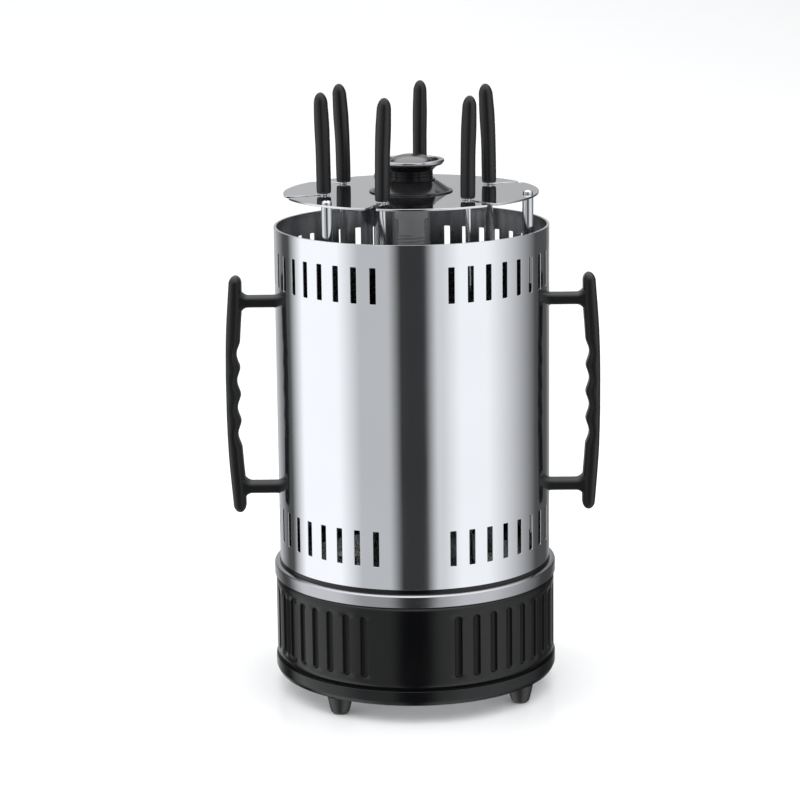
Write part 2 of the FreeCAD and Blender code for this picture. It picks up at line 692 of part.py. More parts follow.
# ---------------------------------------------------------------- drive
def chassis():
    """Steel plate that carries pillar, planet axles and motor."""
    disc = rod("chassis_disc", "floor_r", "chassis_low", "chassis_top")
    tools = [rod("chassis_eye", "pillar_in", "chassis_low", "chassis_top"),
             rod("chassis_bush_hole", "bush_hole_r", "chassis_low", "chassis_top", "motor")]
    tools += [rod("chassis_hole_" + at, "screw_hole_r", "chassis_low", "chassis_top", at)
              for at in FEET + MOTOR_SCREWS]
    tools += [rod("chassis_axle_" + at, "axle_hole_r", "chassis_low", "chassis_top", at)
              for at in SPITS]
    node("chassis_plate", cut("chassis_done", disc, tools))
    screws("chassis_screws", FEET, "screw_head_r", "screw_r",
           ("chassis_screw_low", "chassis_top", "chassis_top + screw_head"))
    pins = [rod("axle_" + at, "axle_r", "chassis_low", "axle_top", at) for at in SPITS]
    node("planet_axles", group("axle_set", pins))
    node("hub_pillar", turned("hub_pillar_body", [
        ("pillar_in", "chassis_top"), ("pillar_flange_r", "chassis_top"),
        ("pillar_flange_r", "pillar_flange_top"), ("pillar_r", "pillar_flange_top"),
        ("pillar_r", "clip_low"), ("clip_seat_r", "clip_low"), ("clip_seat_r", "clip_seat_top"),
        ("pillar_r", "clip_seat_top"), ("pillar_r", "deck_low"), ("pillar_in", "deck_low")]))
    clip = turned("clip_ring", [("clip_in", "clip_low"), ("clip_r", "clip_low"),
                                ("clip_r", "clip_top"), ("clip_in", "clip_top")])
    gap = block("clip_opening", "clip_r", "clip_gap", "clip_r")
    gap.Placement.Base = FreeCAD.Vector(0, -V["clip_gap"] / 2, V["clip_low"] - V["clip_in"])
    node("pillar_clip", cut("clip_done", clip, [gap]))


def motor():
    """Synchronous gear motor under the chassis, its shaft and the pinion on it."""
    can = turned("motor_can", [
        ("zero", "motor_low"), ("motor_r", "motor_low"), ("motor_r", "chassis_low"),
        ("bush_r", "chassis_low"), ("bush_r", "bush_top"), ("zero", "bush_top")], "motor")
    bore = rod("motor_bore", "shaft_bore_r", "shaft_bore_low", "bush_top", "motor")
    taps = [rod("motor_tap_" + at, "screw_hole_r", "motor_screw_pit", "chassis_low", at)
            for at in MOTOR_SCREWS]
    node("motor", cut("motor_done", can, [bore] + taps))
    screws("motor_screws", MOTOR_SCREWS, "screw_head_r", "screw_r",
           ("motor_screw_low", "chassis_top", "chassis_top + screw_head"))
    node("motor_shaft", rod("shaft", "shaft_r", "shaft_low", "shaft_top", "motor"))
    blank = toothed("pinion_teeth", "pinion_teeth", "gear_low", "motor", "motor_turn")
    bore = rod("pinion_bore", "pinion_bore_r", "gear_low", "gear_top", "motor")
    node("pinion", cut("pinion_done", blank, [bore]))


def gears():
    """Sun gear on the pillar and one socket gear under every skewer."""
    blank = toothed("sun_blank", "sun_teeth", "gear_low")
    hub = rod("sun_hub", "sun_hub_r", "sun_hub_low", "sun_hub_top")
    bore = rod("sun_bore", "sun_bore_r", "sun_hub_low", "sun_hub_top")
    holes = around("sun_holes", "sun_hole_circle", "sun_window", "sun_hole_r", "gear_low", "gear_top")
    node("sun_gear", cut("sun_done", join("sun_whole", [blank, hub]), [bore] + holes))
    for i, at in enumerate(SPITS, 1):
        turn = at + "_turn"
        blank = toothed("socket_blank_%d" % i, "planet_teeth", "gear_low", at, turn)
        hub = rod("socket_hub_%d" % i, "planet_hub_r", "gear_low", "hub_top", at)
        foot = rod("socket_foot_%d" % i, "planet_foot_r", "planet_low", "gear_top", at)
        bore = rod("socket_bore_%d" % i, "planet_bore_r", "planet_low", "planet_bore_top", at)
        slot = slab("socket_slot_%d" % i, "XZ_Plane", [
            ("- blade_half - loose - loose", "socket_low"), ("blade_half + loose + loose", "socket_low"),
            ("blade_half + loose + loose", "hub_top"), ("- blade_half - loose - loose", "hub_top")],
            "socket_wall")
        stand(slot, at=at, turn=turn)
        whole = join("socket_whole_%d" % i, [blank, hub, foot])
        node("socket_gear_%d" % i, cut("socket_done_%d" % i, whole, [bore, slot]))


# ---------------------------------------------------------------- deck and heater
def deck():
    """Stainless tray over the gears, with a raised collar round every socket."""
    tray = turned("deck_tray", [
        ("pillar_in", "deck_low"), ("deck_r", "deck_low"), ("deck_r", "deck_lip_top"),
        ("deck_lip_in", "deck_lip_top"), ("deck_lip_in", "deck_top"), ("pillar_in", "deck_top")])
    necks = [rod("deck_neck_" + at, "deck_neck_r", "deck_low", "deck_neck_top", at) for at in SPITS]
    holes = [rod("deck_hole_" + at, "deck_hole_r", "deck_low", "deck_neck_top", at) for at in SPITS]
    holes += [rod("deck_tap_" + at, "tap_r", "deck_low", "deck_top", at) for at in POSTS]
    node("deck", cut("deck_done", join("deck_whole", [tray] + necks), holes))


def heater():
    """Quartz tube with a wound ceramic core between a lower socket and an upper cap."""
    node("heater_socket", turned("heater_socket_body", [
        ("lead_r", "deck_mid_low"), ("deck_mid_r", "deck_mid_low"), ("deck_mid_r", "deck_top"),
        ("socket_r", "deck_top"), ("socket_r", "socket_top"), ("socket_tube_r", "socket_top"),
        ("socket_tube_r", "tube_low"), ("socket_core_r", "tube_low"),
        ("socket_core_r", "socket_floor"), ("lead_r", "socket_floor")]))
    node("heater_tube", turned("heater_tube_body", [
        ("tube_in", "tube_low"), ("tube_r", "tube_low"), ("tube_r", "tube_top"),
        ("tube_in", "tube_top")]))
    node("heater_core", rod("heater_core_rod", "core_r", "core_low", "core_top"))
    path = Part.makeHelix(V["coil_pitch"], V["coil_tall"], V["coil_r"])
    wire = Part.Wire(Part.Circle(FreeCAD.Vector(V["coil_r"], 0, 0), FreeCAD.Vector(0, 1, 0),
                                 V["coil_wire_r"]).toShape())
    coil = doc.addObject("Part::Feature", "heater_coil_wire")
    coil.Shape = Part.Wire(path.Edges).makePipeShell([wire], True, True)
    stand(coil, "coil_low")
    node("heater_coil", coil)
    node("heater_cap", turned("heater_cap_body", [
        ("zero", "cap_core_top"), ("cap_core_r", "cap_core_top"), ("cap_core_r", "cap_plug_low"),
        ("cap_plug_r", "cap_plug_low"), ("cap_plug_r", "cap_low"), ("tube_r", "cap_low"),
        ("tube_r", "plate_low"), ("knob_stud_bore", "plate_low"),
        ("knob_stud_bore", "knob_stud_pit"), ("zero", "knob_stud_pit")]))


# ---------------------------------------------------------------- posts and top plate
def posts():
    """Three polished posts, screwed from below the deck and through the plate."""
    for i, at in enumerate(POSTS, 1):
        shaft = rod("post_rod_%d" % i, "post_r", "deck_top", "plate_low", at)
        taps = [rod("post_tap_low_%d" % i, "tap_r", "deck_top", "deck_top + tap_deep", at),
                rod("post_tap_top_%d" % i, "tap_r", "plate_low - tap_deep", "plate_low", at)]
        node("post_%d" % i, cut("post_done_%d" % i, shaft, taps))
    screws("post_screws", POSTS, "screw_head_r", "stud_r",
           ("deck_top + stud_reach", "deck_low", "deck_low - screw_head"))


def top_plate():
    """Round plate with six open slots, each ending in an eye for a skewer neck."""
    disc = rod("plate_disc", "plate_radius", "plate_low", "plate_top")
    tools = [rod("plate_eye", "knob_stud_bore", "plate_low", "plate_top")]
    tools += [rod("plate_hole_" + at, "tap_r", "plate_low", "plate_top", at) for at in POSTS]
    for i, (at, angle) in enumerate(zip(SPITS, STATIONS), 1):
        tools.append(rod("plate_eye_%d" % i, "eye_r", "plate_low", "plate_top", at))
        slit = doc.addObject("PartDesign::Body", "slit_%d" % i)
        pad = slit.newObject("PartDesign::Pad", "slit_pad_%d" % i)
        pad.Profile = outline(slit, "slit_outline_%d" % i, "XY_Plane", [
            ("skewer_circle", "- slit_half"), ("slit_mouth_in", "- slit_half"),
            ("slit_end", "- slit_mouth_half"), ("slit_end", "slit_mouth_half"),
            ("slit_mouth_in", "slit_half"), ("skewer_circle", "slit_half")])
        bind(pad, Length="plate_wall")
        doc.recompute()
        slit.Placement = FreeCAD.Placement(FreeCAD.Vector(0, 0, V["plate_low"]),
                                           FreeCAD.Rotation(UP, angle - 90))
        bind(slit, Placement__Base__z="plate_low")
        tools.append(slit)
    node("top_plate", cut("plate_done", disc, tools))
    domes = []
    for at in POSTS:
        shank = rod("dome_shank_" + at, "stud_r", "plate_low - stud_reach", "plate_top", at)
        ball = doc.addObject("Part::Ellipsoid", "dome_ball_" + at)
        bind(ball, Radius1="dome_tall", Radius2="dome_r", Radius3="dome_r")
        ball.Angle1 = 0
        domes.append(join("dome_" + at, [shank, stand(ball, "plate_top", at)]))
    node("plate_screws", group("dome_set", domes))


def knob():
    """Pot-lid knob in the middle of the plate: saucer, grip, band, and the crown with its stud."""
    node("knob_saucer", turned("knob_saucer_body", [
        ("saucer_in", "saucer_under_z"), ("saucer_under_r", "plate_top"), ("saucer_r", "plate_top"),
        ("saucer_r", "saucer_lip"), ("saucer_lip_in", "saucer_lip"),
        ("saucer_neck_r", "saucer_neck_z"), ("saucer_in", "saucer_neck_z")]))
    node("knob_grip", turned("knob_grip_body", [
        ("knob_stud_bore", "plate_top"), ("grip_foot_r", "plate_top"), ("grip_foot_r", "grip_collar_low"),
        ("grip_collar_r", "grip_collar_low"), ("grip_collar_r", "grip_waist_low"),
        ("grip_waist_r", "grip_waist_low"), ("grip_waist_r", "grip_waist_top"),
        ("grip_flare_r", "grip_flare_z"), ("grip_edge_r", "grip_edge_z"), ("grip_edge_r", "grip_seat_z"),
        ("grip_dish_r", "grip_seat_z"), ("grip_dish_r", "grip_dish_z"),
        ("knob_stud_bore", "grip_dish_z")]))
    node("knob_band", turned("knob_band_body", [
        ("band_in", "grip_seat_z"), ("band_low_r", "grip_seat_z"), ("band_r", "band_slope_z"),
        ("band_edge_r", "band_top"), ("band_in", "band_top")]))
    cap = doc.addObject("Part::Ellipsoid", "crown_ball")
    bind(cap, Radius1="crown_top - crown_edge", Radius2="crown_r", Radius3="crown_r")
    cap.Angle1 = 0
    stand(cap, "crown_edge")
    stem = rod("crown_stem", "crown_stem_r", "grip_dish_z", "crown_edge")
    stud = rod("crown_stud", "knob_stud_r", "knob_stud_low", "crown_edge")
    node("knob_crown", join("crown_done", [cap, stem, stud]))


# ---------------------------------------------------------------- casing
def casing():
    """Open stainless tube with two rows of upright slots."""
    body = turned("casing_tube", [("casing_in", "seat_top"), ("casing_r", "seat_top"),
                                  ("casing_r", "rim_top"), ("casing_in", "rim_top")])
    for side, start, back in (("right", "slot_first", False), ("left", "slot_mirror", True)):
        for row, low in (("low", "seat_top + slot_inset"),
                         ("high", "rim_top - slot_inset - slot_tall")):
            tag = row + "_" + side
            sk = outline(body, "slot_" + tag, "XZ_Plane", [
                ("- slot_half", low), ("slot_half", low), ("slot_half", low + " + slot_tall"),
                ("- slot_half", low + " + slot_tall")])
            rake(sk, start, "slot_plane")
            doc.recompute()
            before = body.Shape.Volume
            pocket = body.newObject("PartDesign::Pocket", "slot_cut_" + tag)
            pocket.Profile = sk
            pocket.Reversed = True
            bind(pocket, Length="slot_cut")
            doc.recompute()
            if not before > body.Shape.Volume:
                raise RuntimeError("slot pocket removed nothing")
            sweep_round(body, pocket, "slot_span", "slots_side", "slots_" + tag, back)
    taps = []
    for side in (-1, 1):
        for end in (-1, 1):
            tap = doc.addObject("Part::Cylinder", "casing_tap_%d_%d" % (side + 1, end + 1))
            bind(tap, Radius="handle_tap_r", Height="slot_cut")
            tap.Placement = FreeCAD.Placement(
                FreeCAD.Vector(side * V["slot_plane"], 0, V["handle_mid"] + end * V["handle_arm"]),
                FreeCAD.Rotation(FreeCAD.Vector(0, 1, 0), side * 90))
            taps.append(tap)
    node("casing_shell", cut("casing_done", body, taps))


def lifting_handle(name, side):
    """Black handle: two arms and a bowed grip with four finger troughs on its inner face."""
    up, half, arm = "handle_mid", "handle_half", "handle_arm"
    arm_low, arm_top = [up + " %s " + arm + " " + s + " handle_arm_half" for s in "-+"]
    body = slab(name + "_bar", "XZ_Plane", [
        ("handle_foot", arm_low % "-"), ("handle_end_in", arm_low % "-"),
        ("handle_end_in", up + " - handle_tip"), ("handle_tip_in", up + " - " + half),
        ("handle_tip_out", up + " - " + half), ("handle_end_out", up + " - handle_tip"),
        ("handle_bow_out", up + " - handle_bow"), ("handle_out", up + " - handle_flat"),
        ("handle_out", up + " + handle_flat"), ("handle_bow_out", up + " + handle_bow"),
        ("handle_end_out", up + " + handle_tip"), ("handle_tip_out", up + " + " + half),
        ("handle_tip_in", up + " + " + half), ("handle_end_in", up + " + handle_tip"),
        ("handle_end_in", arm_top % "+"), ("handle_foot", arm_top % "+"),
        ("handle_foot", arm_low % "+"), ("handle_end_in", arm_low % "+"),
        ("handle_in", up + " + handle_bow"), ("handle_in", up + " - handle_bow"),
        ("handle_end_in", arm_top % "-"), ("handle_foot", arm_top % "-")], "handle_wide")
    shell = rod(name + "_seat", "casing_clear", "seat_top", "rim_top")
    troughs = []
    fingers = int(V["fingers"])
    for k in range(fingers):
        tool = doc.addObject("Part::Cylinder", "%s_finger_%d" % (name, k + 1))
        bind(tool, Radius="finger_r", Height="handle_wide + handle_wide")
        tool.Placement = FreeCAD.Placement(
            FreeCAD.Vector(V["handle_in"] - V["finger_r"] + V["finger_deep"], V["handle_wide"],
                           V["handle_mid"] + (k - (fingers - 1) / 2) * V["finger_pitch"]),
            FreeCAD.Rotation(FreeCAD.Vector(1, 0, 0), 90))
        troughs.append(tool)
    taps = []
    for end in (-1, 1):
        tap = doc.addObject("Part::Cylinder", "%s_tap_%d" % (name, end + 1))
        bind(tap, Radius="handle_tap_r", Height="handle_tap_end - casing_in")
        tap.Placement = FreeCAD.Placement(
            FreeCAD.Vector(V["casing_in"], 0, V["handle_mid"] + end * V["handle_arm"]),
            FreeCAD.Rotation(FreeCAD.Vector(0, 1, 0), 90))
        taps.append(tap)
    done = cut(name + "_done", body, [shell] + troughs + taps)
    if side < 0:
        flip = doc.addObject("Part::Mirroring", name + "_mirror")
        flip.Source = done
        flip.Normal = FreeCAD.Vector(1, 0, 0)
        done = flip
    node(name, done)


def handle_screws():
    """Four screws driven outwards through the casing into the handle arms."""
    made = []
    for side in (-1, 1):
        for end in (-1, 1):
            tag = "%d_%d" % (side + 1, end + 1)
            pieces = []
            for part, radius, start, stop in (
                    ("head", "handle_screw_head_r", "handle_screw_in", "casing_scoop"),
                    ("shank", "handle_screw_r", "handle_screw_in", "handle_screw_end")):
                obj = doc.addObject("Part::Cylinder", "handle_screw_%s_%s" % (part, tag))
                bind(obj, Radius=radius, Height=stop + " - " + start)
                obj.Placement = FreeCAD.Placement(
                    FreeCAD.Vector(side * V[start], 0, V["handle_mid"] + end * V["handle_arm"]),
                    FreeCAD.Rotation(FreeCAD.Vector(0, 1, 0), side * 90))
                pieces.append(obj)
            made.append(join("handle_screw_" + tag, pieces))
    node("handle_screws", group("handle_screw_set", made))


# ---------------------------------------------------------------- skewers
def skewer(i, at):
    """Flat blade with a round neck, and the black handle that leans off its axis."""
    turn = at + "_turn"
    blade = slab("skewer_flat_%d" % i, "XZ_Plane", [
        ("zero", "blade_tip"), ("blade_half", "blade_shoulder"), ("blade_half", "blade_top"),
        ("- blade_half", "blade_top"), ("- blade_half", "blade_shoulder")], "blade_wall")
    stand(blade, at=at, turn=turn)
    neck = rod("skewer_neck_%d" % i, "neck_r", "neck_low", "tang_top", at)
    node("skewer_%d" % i, join("skewer_done_%d" % i, [blade, neck]))
    sections = []
    for k in range(int(V["grip_rings"])):
        ring = doc.addObject("Part::Ellipse", "skewer_ring_%d_%d" % (i, k + 1))
        bind(ring, MajorRadius="grip_%d_a" % k, MinorRadius="grip_%d_b" % k)
        turned_by = FreeCAD.Rotation(UP, V[turn])
        spot = FreeCAD.Vector(V[at + "_x"], V[at + "_y"], V["grip_low"] + V["grip_%d_z" % k])
        ring.Placement = FreeCAD.Placement(
            spot + turned_by.multVec(FreeCAD.Vector(V["grip_%d_x" % k], 0, 0)), turned_by)
        sections.append(ring)
    loft = doc.addObject("Part::Loft", "skewer_grip_loft_%d" % i)
    loft.Sections = sections
    loft.Solid = True
    bore = rod("skewer_grip_bore_%d" % i, "tang_bore_r", "grip_low", "tang_bore_top", at)
    node("skewer_grip_%d" % i, cut("skewer_grip_done_%d" % i, loft, [bore]))


# ---------------------------------------------------------------- electrical pieces
def electrics():
    """Power inlet in the back wall, terminal block on the floor, thermal cut-out under the deck."""
    shell = block("inlet_shell", "inlet_half + inlet_half", "inlet_deep", "inlet_tall")
    shell.Placement.Base = FreeCAD.Vector(-V["inlet_half"], V["inlet_front"], V["inlet_low"])
    pit = doc.addObject("Part::Box", "inlet_pit_box")
    bind(pit, Length="inlet_half + inlet_half - inlet_wall - inlet_wall", Width="inlet_pit",
         Height="inlet_tall - inlet_wall - inlet_wall")
    pit.Placement.Base = FreeCAD.Vector(-V["inlet_half"] + V["inlet_wall"],
                                        V["inlet_back"] - V["inlet_pit"],
                                        V["inlet_low"] + V["inlet_wall"])
    pins, sleeves = [], []
    for side in (-1, 1):
        for made, tag, grow in ((pins, "pin", 0.0), (sleeves, "sleeve", V["loose"])):
            obj = doc.addObject("Part::Cylinder", "inlet_%s_%d" % (tag, side + 1))
            obj.Radius = V["pin_r"] + grow
            obj.Height = V["pin_long"] + V["inlet_deep"] - V["inlet_pit"]
            obj.Placement = FreeCAD.Placement(
                FreeCAD.Vector(side * V["pin_reach"], V["inlet_front"],
                               V["inlet_low"] + V["inlet_tall"] / 2),
                FreeCAD.Rotation(FreeCAD.Vector(1, 0, 0), -90))
            made.append(obj)
    node("power_inlet", cut("inlet_done", shell, [pit] + sleeves))
    node("inlet_pins", group("inlet_pin_set", pins))
    body = block("terminal_body", "block_long", "block_wide", "block_tall")
    body.Placement.Base = FreeCAD.Vector(V["block_x"], V["block_y"], V["floor_top"])
    wells = []
    for k in range(int(V["block_ways"])):
        well = rod("terminal_well_%d" % (k + 1), "axle_r", "floor_top + axle_r", "floor_top + block_tall")
        well.Placement.Base.x = V["block_x"] + V["block_long"] * (k + 0.5) / V["block_ways"]
        well.Placement.Base.y = V["block_y"] + V["block_wide"] / 2
        wells.append(well)
    node("terminal_block", cut("terminal_done", body, wells))
    node("thermal_cutout", rod("cutout_can", "cutout_r", "cutout_low", "deck_low", "cutout"))


base_housing()
trim_ring()
feet()
floor_plate()
chassis()
motor()
gears()
deck()
heater()
posts()
top_plate()
knob()
casing()
lifting_handle("handle_right", 1)
lifting_handle("handle_left", -1)
handle_screws()
for number, station in enumerate(SPITS, 1):
    skewer(number, station)
electrics()

doc.recompute()
faults = [o.Label for o in doc.Objects if {"Invalid", "Error"} & set(o.State)]
for name, obj in NODES.items():
    if obj.Shape.isNull() or not obj.Shape.isValid() or not obj.Shape.Solids:
        faults.append(name)
if faults:
    raise RuntimeError("faulty objects: " + ", ".join(faults))
for name, obj in NODES.items():
    obj.Shape.exportStep(os.path.join("parts", name + ".step"))
    print("%-18s solids %2d  volume %10.1f" % (name, len(obj.Shape.Solids), obj.Shape.Volume))
print(len(NODES), "nodes")
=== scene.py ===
"""Looks of a vertical skewer grill, built over its CAD frame.

Sizes in the classes are millimetres, heights are from the floor, and a station angle is measured
from the front (-Y) towards the right (+X). A section is a list of (radius, height, rounding) corners.
"""
import json
import logging
import math
from dataclasses import dataclass, field
from enum import Enum
from typing import Iterable, Sequence

import bmesh
import bpy
from mathutils import Matrix, Vector


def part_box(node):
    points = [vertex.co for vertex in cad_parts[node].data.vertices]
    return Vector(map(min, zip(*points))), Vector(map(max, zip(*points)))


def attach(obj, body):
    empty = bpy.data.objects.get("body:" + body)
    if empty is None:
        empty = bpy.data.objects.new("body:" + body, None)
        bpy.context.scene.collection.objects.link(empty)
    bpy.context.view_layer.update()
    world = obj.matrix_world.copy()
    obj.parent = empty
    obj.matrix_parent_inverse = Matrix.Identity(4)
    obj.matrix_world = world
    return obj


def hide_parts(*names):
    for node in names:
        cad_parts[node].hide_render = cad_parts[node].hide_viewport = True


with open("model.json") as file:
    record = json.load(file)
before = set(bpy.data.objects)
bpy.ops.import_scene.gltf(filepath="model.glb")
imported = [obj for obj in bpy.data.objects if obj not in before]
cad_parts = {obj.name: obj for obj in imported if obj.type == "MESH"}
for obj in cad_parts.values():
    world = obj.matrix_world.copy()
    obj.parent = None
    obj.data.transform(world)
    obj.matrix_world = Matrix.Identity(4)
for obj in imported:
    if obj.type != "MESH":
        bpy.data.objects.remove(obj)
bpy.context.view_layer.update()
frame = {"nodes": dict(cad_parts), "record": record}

log = logging.getLogger("grill")
MM = 0.001
Socket = bpy.types.NodeSocket
Pair = tuple[float, float]
Corner = tuple[float, float, float]
Section = tuple[Corner, ...]


class Grain(Enum):
    """Direction of the brushing on a metal: scale of the streaks along X, Y and Z."""
    AROUND = (6.0, 6.0, 900.0)
    UPRIGHT = (700.0, 700.0, 5.0)
    ACROSS = (8.0, 900.0, 900.0)
    NONE = (120.0, 120.0, 120.0)


class Side(Enum):
    """Sides of the grill, as signs of X."""
    RIGHT = 1
    LEFT = -1


# ---------------------------------------------------------------- shaders
class Graph:
    """Node graph of one material or world, built by short calls."""

    def __init__(self, owner: bpy.types.Material | bpy.types.World, shader: str = "Principled BSDF") -> None:
        """Start from the nodes that a new material or world comes with.

        Args:
            owner: the material or world.
            shader: name of its shader node.
        """
        owner.use_nodes = True
        self.owner = owner
        self.tree = owner.node_tree
        self.shader = self.tree.nodes[shader]

    def add(self, kind: str, inputs: dict | None = None, **settings: object) -> bpy.types.Node:
        """Add a node.

        Args:
            kind: class name of the node without its ShaderNode prefix.
            inputs: values or output sockets for its inputs, by name or number.
            settings: attributes of the node.

        Returns:
            The new node.
        """
        made = self.tree.nodes.new("ShaderNode" + kind)
        for key, value in settings.items():
            setattr(made, key, value)
        for key, value in (inputs or {}).items():
            self.feed(made, key, value)
        return made

    def feed(self, node: bpy.types.Node, key: str | int, value: object) -> None:
        """Set an input to a value, or link it to an output socket.

        Args:
            node: the node.
            key: name or number of its input.
            value: a plain value or an output socket.
        """
        if isinstance(value, bpy.types.NodeSocket):
            self.tree.links.new(value, node.inputs[key])
        else:
            node.inputs[key].default_value = value

    def noise(self, scale: Sequence[float], detail: float = 3.0) -> Socket:
        """Noise in the piece's own space.

        Args:
            scale: cells per metre along X, Y and Z.
            detail: octaves of the noise.

        Returns:
            The noise factor.
        """
        place = self.add("TexCoord").outputs["Object"]
        spread = self.add("Mapping", {"Vector": place, "Scale": tuple(scale)})
        return self.add("TexNoise", {"Vector": spread.outputs[0], "Scale": 1.0, "Detail": detail}).outputs[0]

    def maths(self, kind: str, first: Socket, second: Socket | float, third: Socket | float = 0.0) -> Socket:
        """Work one sum on a socket.

        Args:
            kind: name of the operation.
            first: its first operand.
            second: its second operand.
            third: its third operand, where it takes one.

        Returns:
            The result.
        """
        return self.add("Math", {0: first, 1: second, 2: third}, operation=kind).outputs[0]

    def between(self, factor: Socket, low: float, high: float) -> Socket:
        """Spread a noise factor between two values."""
        return self.add("MapRange", {0: factor, 1: 0.3, 2: 0.7, 3: low, 4: high}).outputs[0]

    def tint(self, factor: Socket, low: Sequence[float], high: Sequence[float]) -> Socket:
        """Blend two colours by a factor.

        Args:
            factor: the factor.
            low: colour where it is low.
            high: colour where it is high.

        Returns:
            The blended colour.
        """
        ramp = self.add("ValToRGB", {0: factor})
        for stop, position, colour in zip(ramp.color_ramp.elements, (0.3, 0.7), (low, high)):
            stop.position, stop.color = position, (*colour, 1)
        return ramp.outputs[0]

    def bump(self, height: Socket, strength: float, depth: float) -> None:
        """Give the shader a bump, its depth in metres."""
        made = self.add("Bump", {"Height": height, "Strength": strength, "Distance": depth})
        self.feed(self.shader, "Normal", made.outputs[0])


@dataclass(frozen=True)
class Finish:
    """Base of every finish: a name and the way to paint it on pieces."""
    name: str

    def build(self, graph: Graph) -> None:
        """Set up the shader of this finish."""
        raise NotImplementedError(self.name)

    @property
    def material(self) -> bpy.types.Material:
        """The finish's material, made at its first use.

        Returns:
            The material.
        """
        if self.name not in bpy.data.materials:
            self.build(Graph(bpy.data.materials.new(self.name)))
        return bpy.data.materials[self.name]

    def paint(self, *pieces: bpy.types.Object) -> None:
        """Cover whole pieces with this finish.

        Args:
            pieces: the pieces.
        """
        for piece in pieces:
            piece.data.materials.clear()
            piece.data.materials.append(self.material)


@dataclass(frozen=True)
class Metal(Finish):
    """Bare metal with brushing, cloudy polish and faint handling marks."""
    colour: Corner
    rough: float
    grain: Grain = Grain.NONE
    streak: float = 0.03
    depth: float = 0.000002

    def build(self, graph: Graph) -> None:
        """Mix fine streaks and a slow cloud into colour, roughness and bump.

        Args:
            graph: the material's node graph.
        """
        graph.shader.inputs["Metallic"].default_value = 1.0
        streaks = graph.noise(self.grain.value, 2.0)
        cloud = graph.noise((14.0, 14.0, 14.0), 4.0)
        both = graph.maths("MULTIPLY_ADD", streaks, cloud, graph.maths("MULTIPLY", cloud, 0.35))
        dark = tuple(c * 0.965 for c in self.colour)
        graph.feed(graph.shader, "Base Color", graph.tint(cloud, dark, self.colour))
        graph.feed(graph.shader, "Roughness", graph.between(both, self.rough, self.rough + self.streak))
        graph.bump(streaks, 0.25, self.depth)


@dataclass(frozen=True)
class Moulded(Finish):
    """Moulded plastic with a fine grain, uneven sheen and patches a little brighter at random."""
    colour: Corner
    rough: float
    grain: float = 2600.0
    depth: float = 0.000012
    worn: float = 1.35
    gloss: float = 0.5

    def build(self, graph: Graph) -> None:
        """Mix the grain into the bump and a slow cloud into colour and roughness.

        Args:
            graph: the material's node graph.
        """
        grain = graph.noise((self.grain,) * 3, 1.0)
        cloud = graph.noise((32.0, 32.0, 18.0), 3.0)
        lighter = tuple(min(1.0, c * self.worn) for c in self.colour)
        graph.feed(graph.shader, "Base Color", graph.tint(cloud, self.colour, lighter))
        graph.feed(graph.shader, "Roughness", graph.between(cloud, self.rough - 0.03, self.rough + 0.06))
        graph.shader.inputs["Specular IOR Level"].default_value = self.gloss
        graph.bump(grain, 0.3, self.depth)


@dataclass(frozen=True)
class Fired(Finish):
    """Fired technical ceramic: chalky, with pinholes and a warm mottle."""
    colour: Corner
    rough: float = 0.55

    def build(self, graph: Graph) -> None:
        """Mix pinholes into the bump and a mottle into the colour.

        Args:
            graph: the material's node graph.
        """
        mottle = graph.noise((60.0, 60.0, 60.0), 5.0)
        pits = graph.noise((1500.0, 1500.0, 1500.0), 2.0)
        dusk = tuple(c * 0.86 for c in self.colour)
        graph.feed(graph.shader, "Base Color", graph.tint(mottle, dusk, self.colour))
        graph.feed(graph.shader, "Roughness", graph.between(pits, self.rough - 0.08, self.rough + 0.08))
        graph.bump(pits, 0.4, 0.00003)


@dataclass(frozen=True)
class Quartz(Finish):
    """Clear quartz, faintly hazed by heat."""
    colour: Corner
    alpha: float = 0.2

    def build(self, graph: Graph) -> None:
        """Make a glossy, mostly see-through shader with an uneven haze.

        Args:
            graph: the material's node graph.
        """
        haze = graph.noise((40.0, 40.0, 9.0), 3.0)
        dusk = tuple(c * 0.9 for c in self.colour)
        graph.feed(graph.shader, "Base Color", graph.tint(haze, dusk, self.colour))
        graph.feed(graph.shader, "Roughness", graph.between(haze, 0.04, 0.12))
        graph.shader.inputs["Alpha"].default_value = self.alpha
        graph.bump(haze, 0.1, 0.00002)


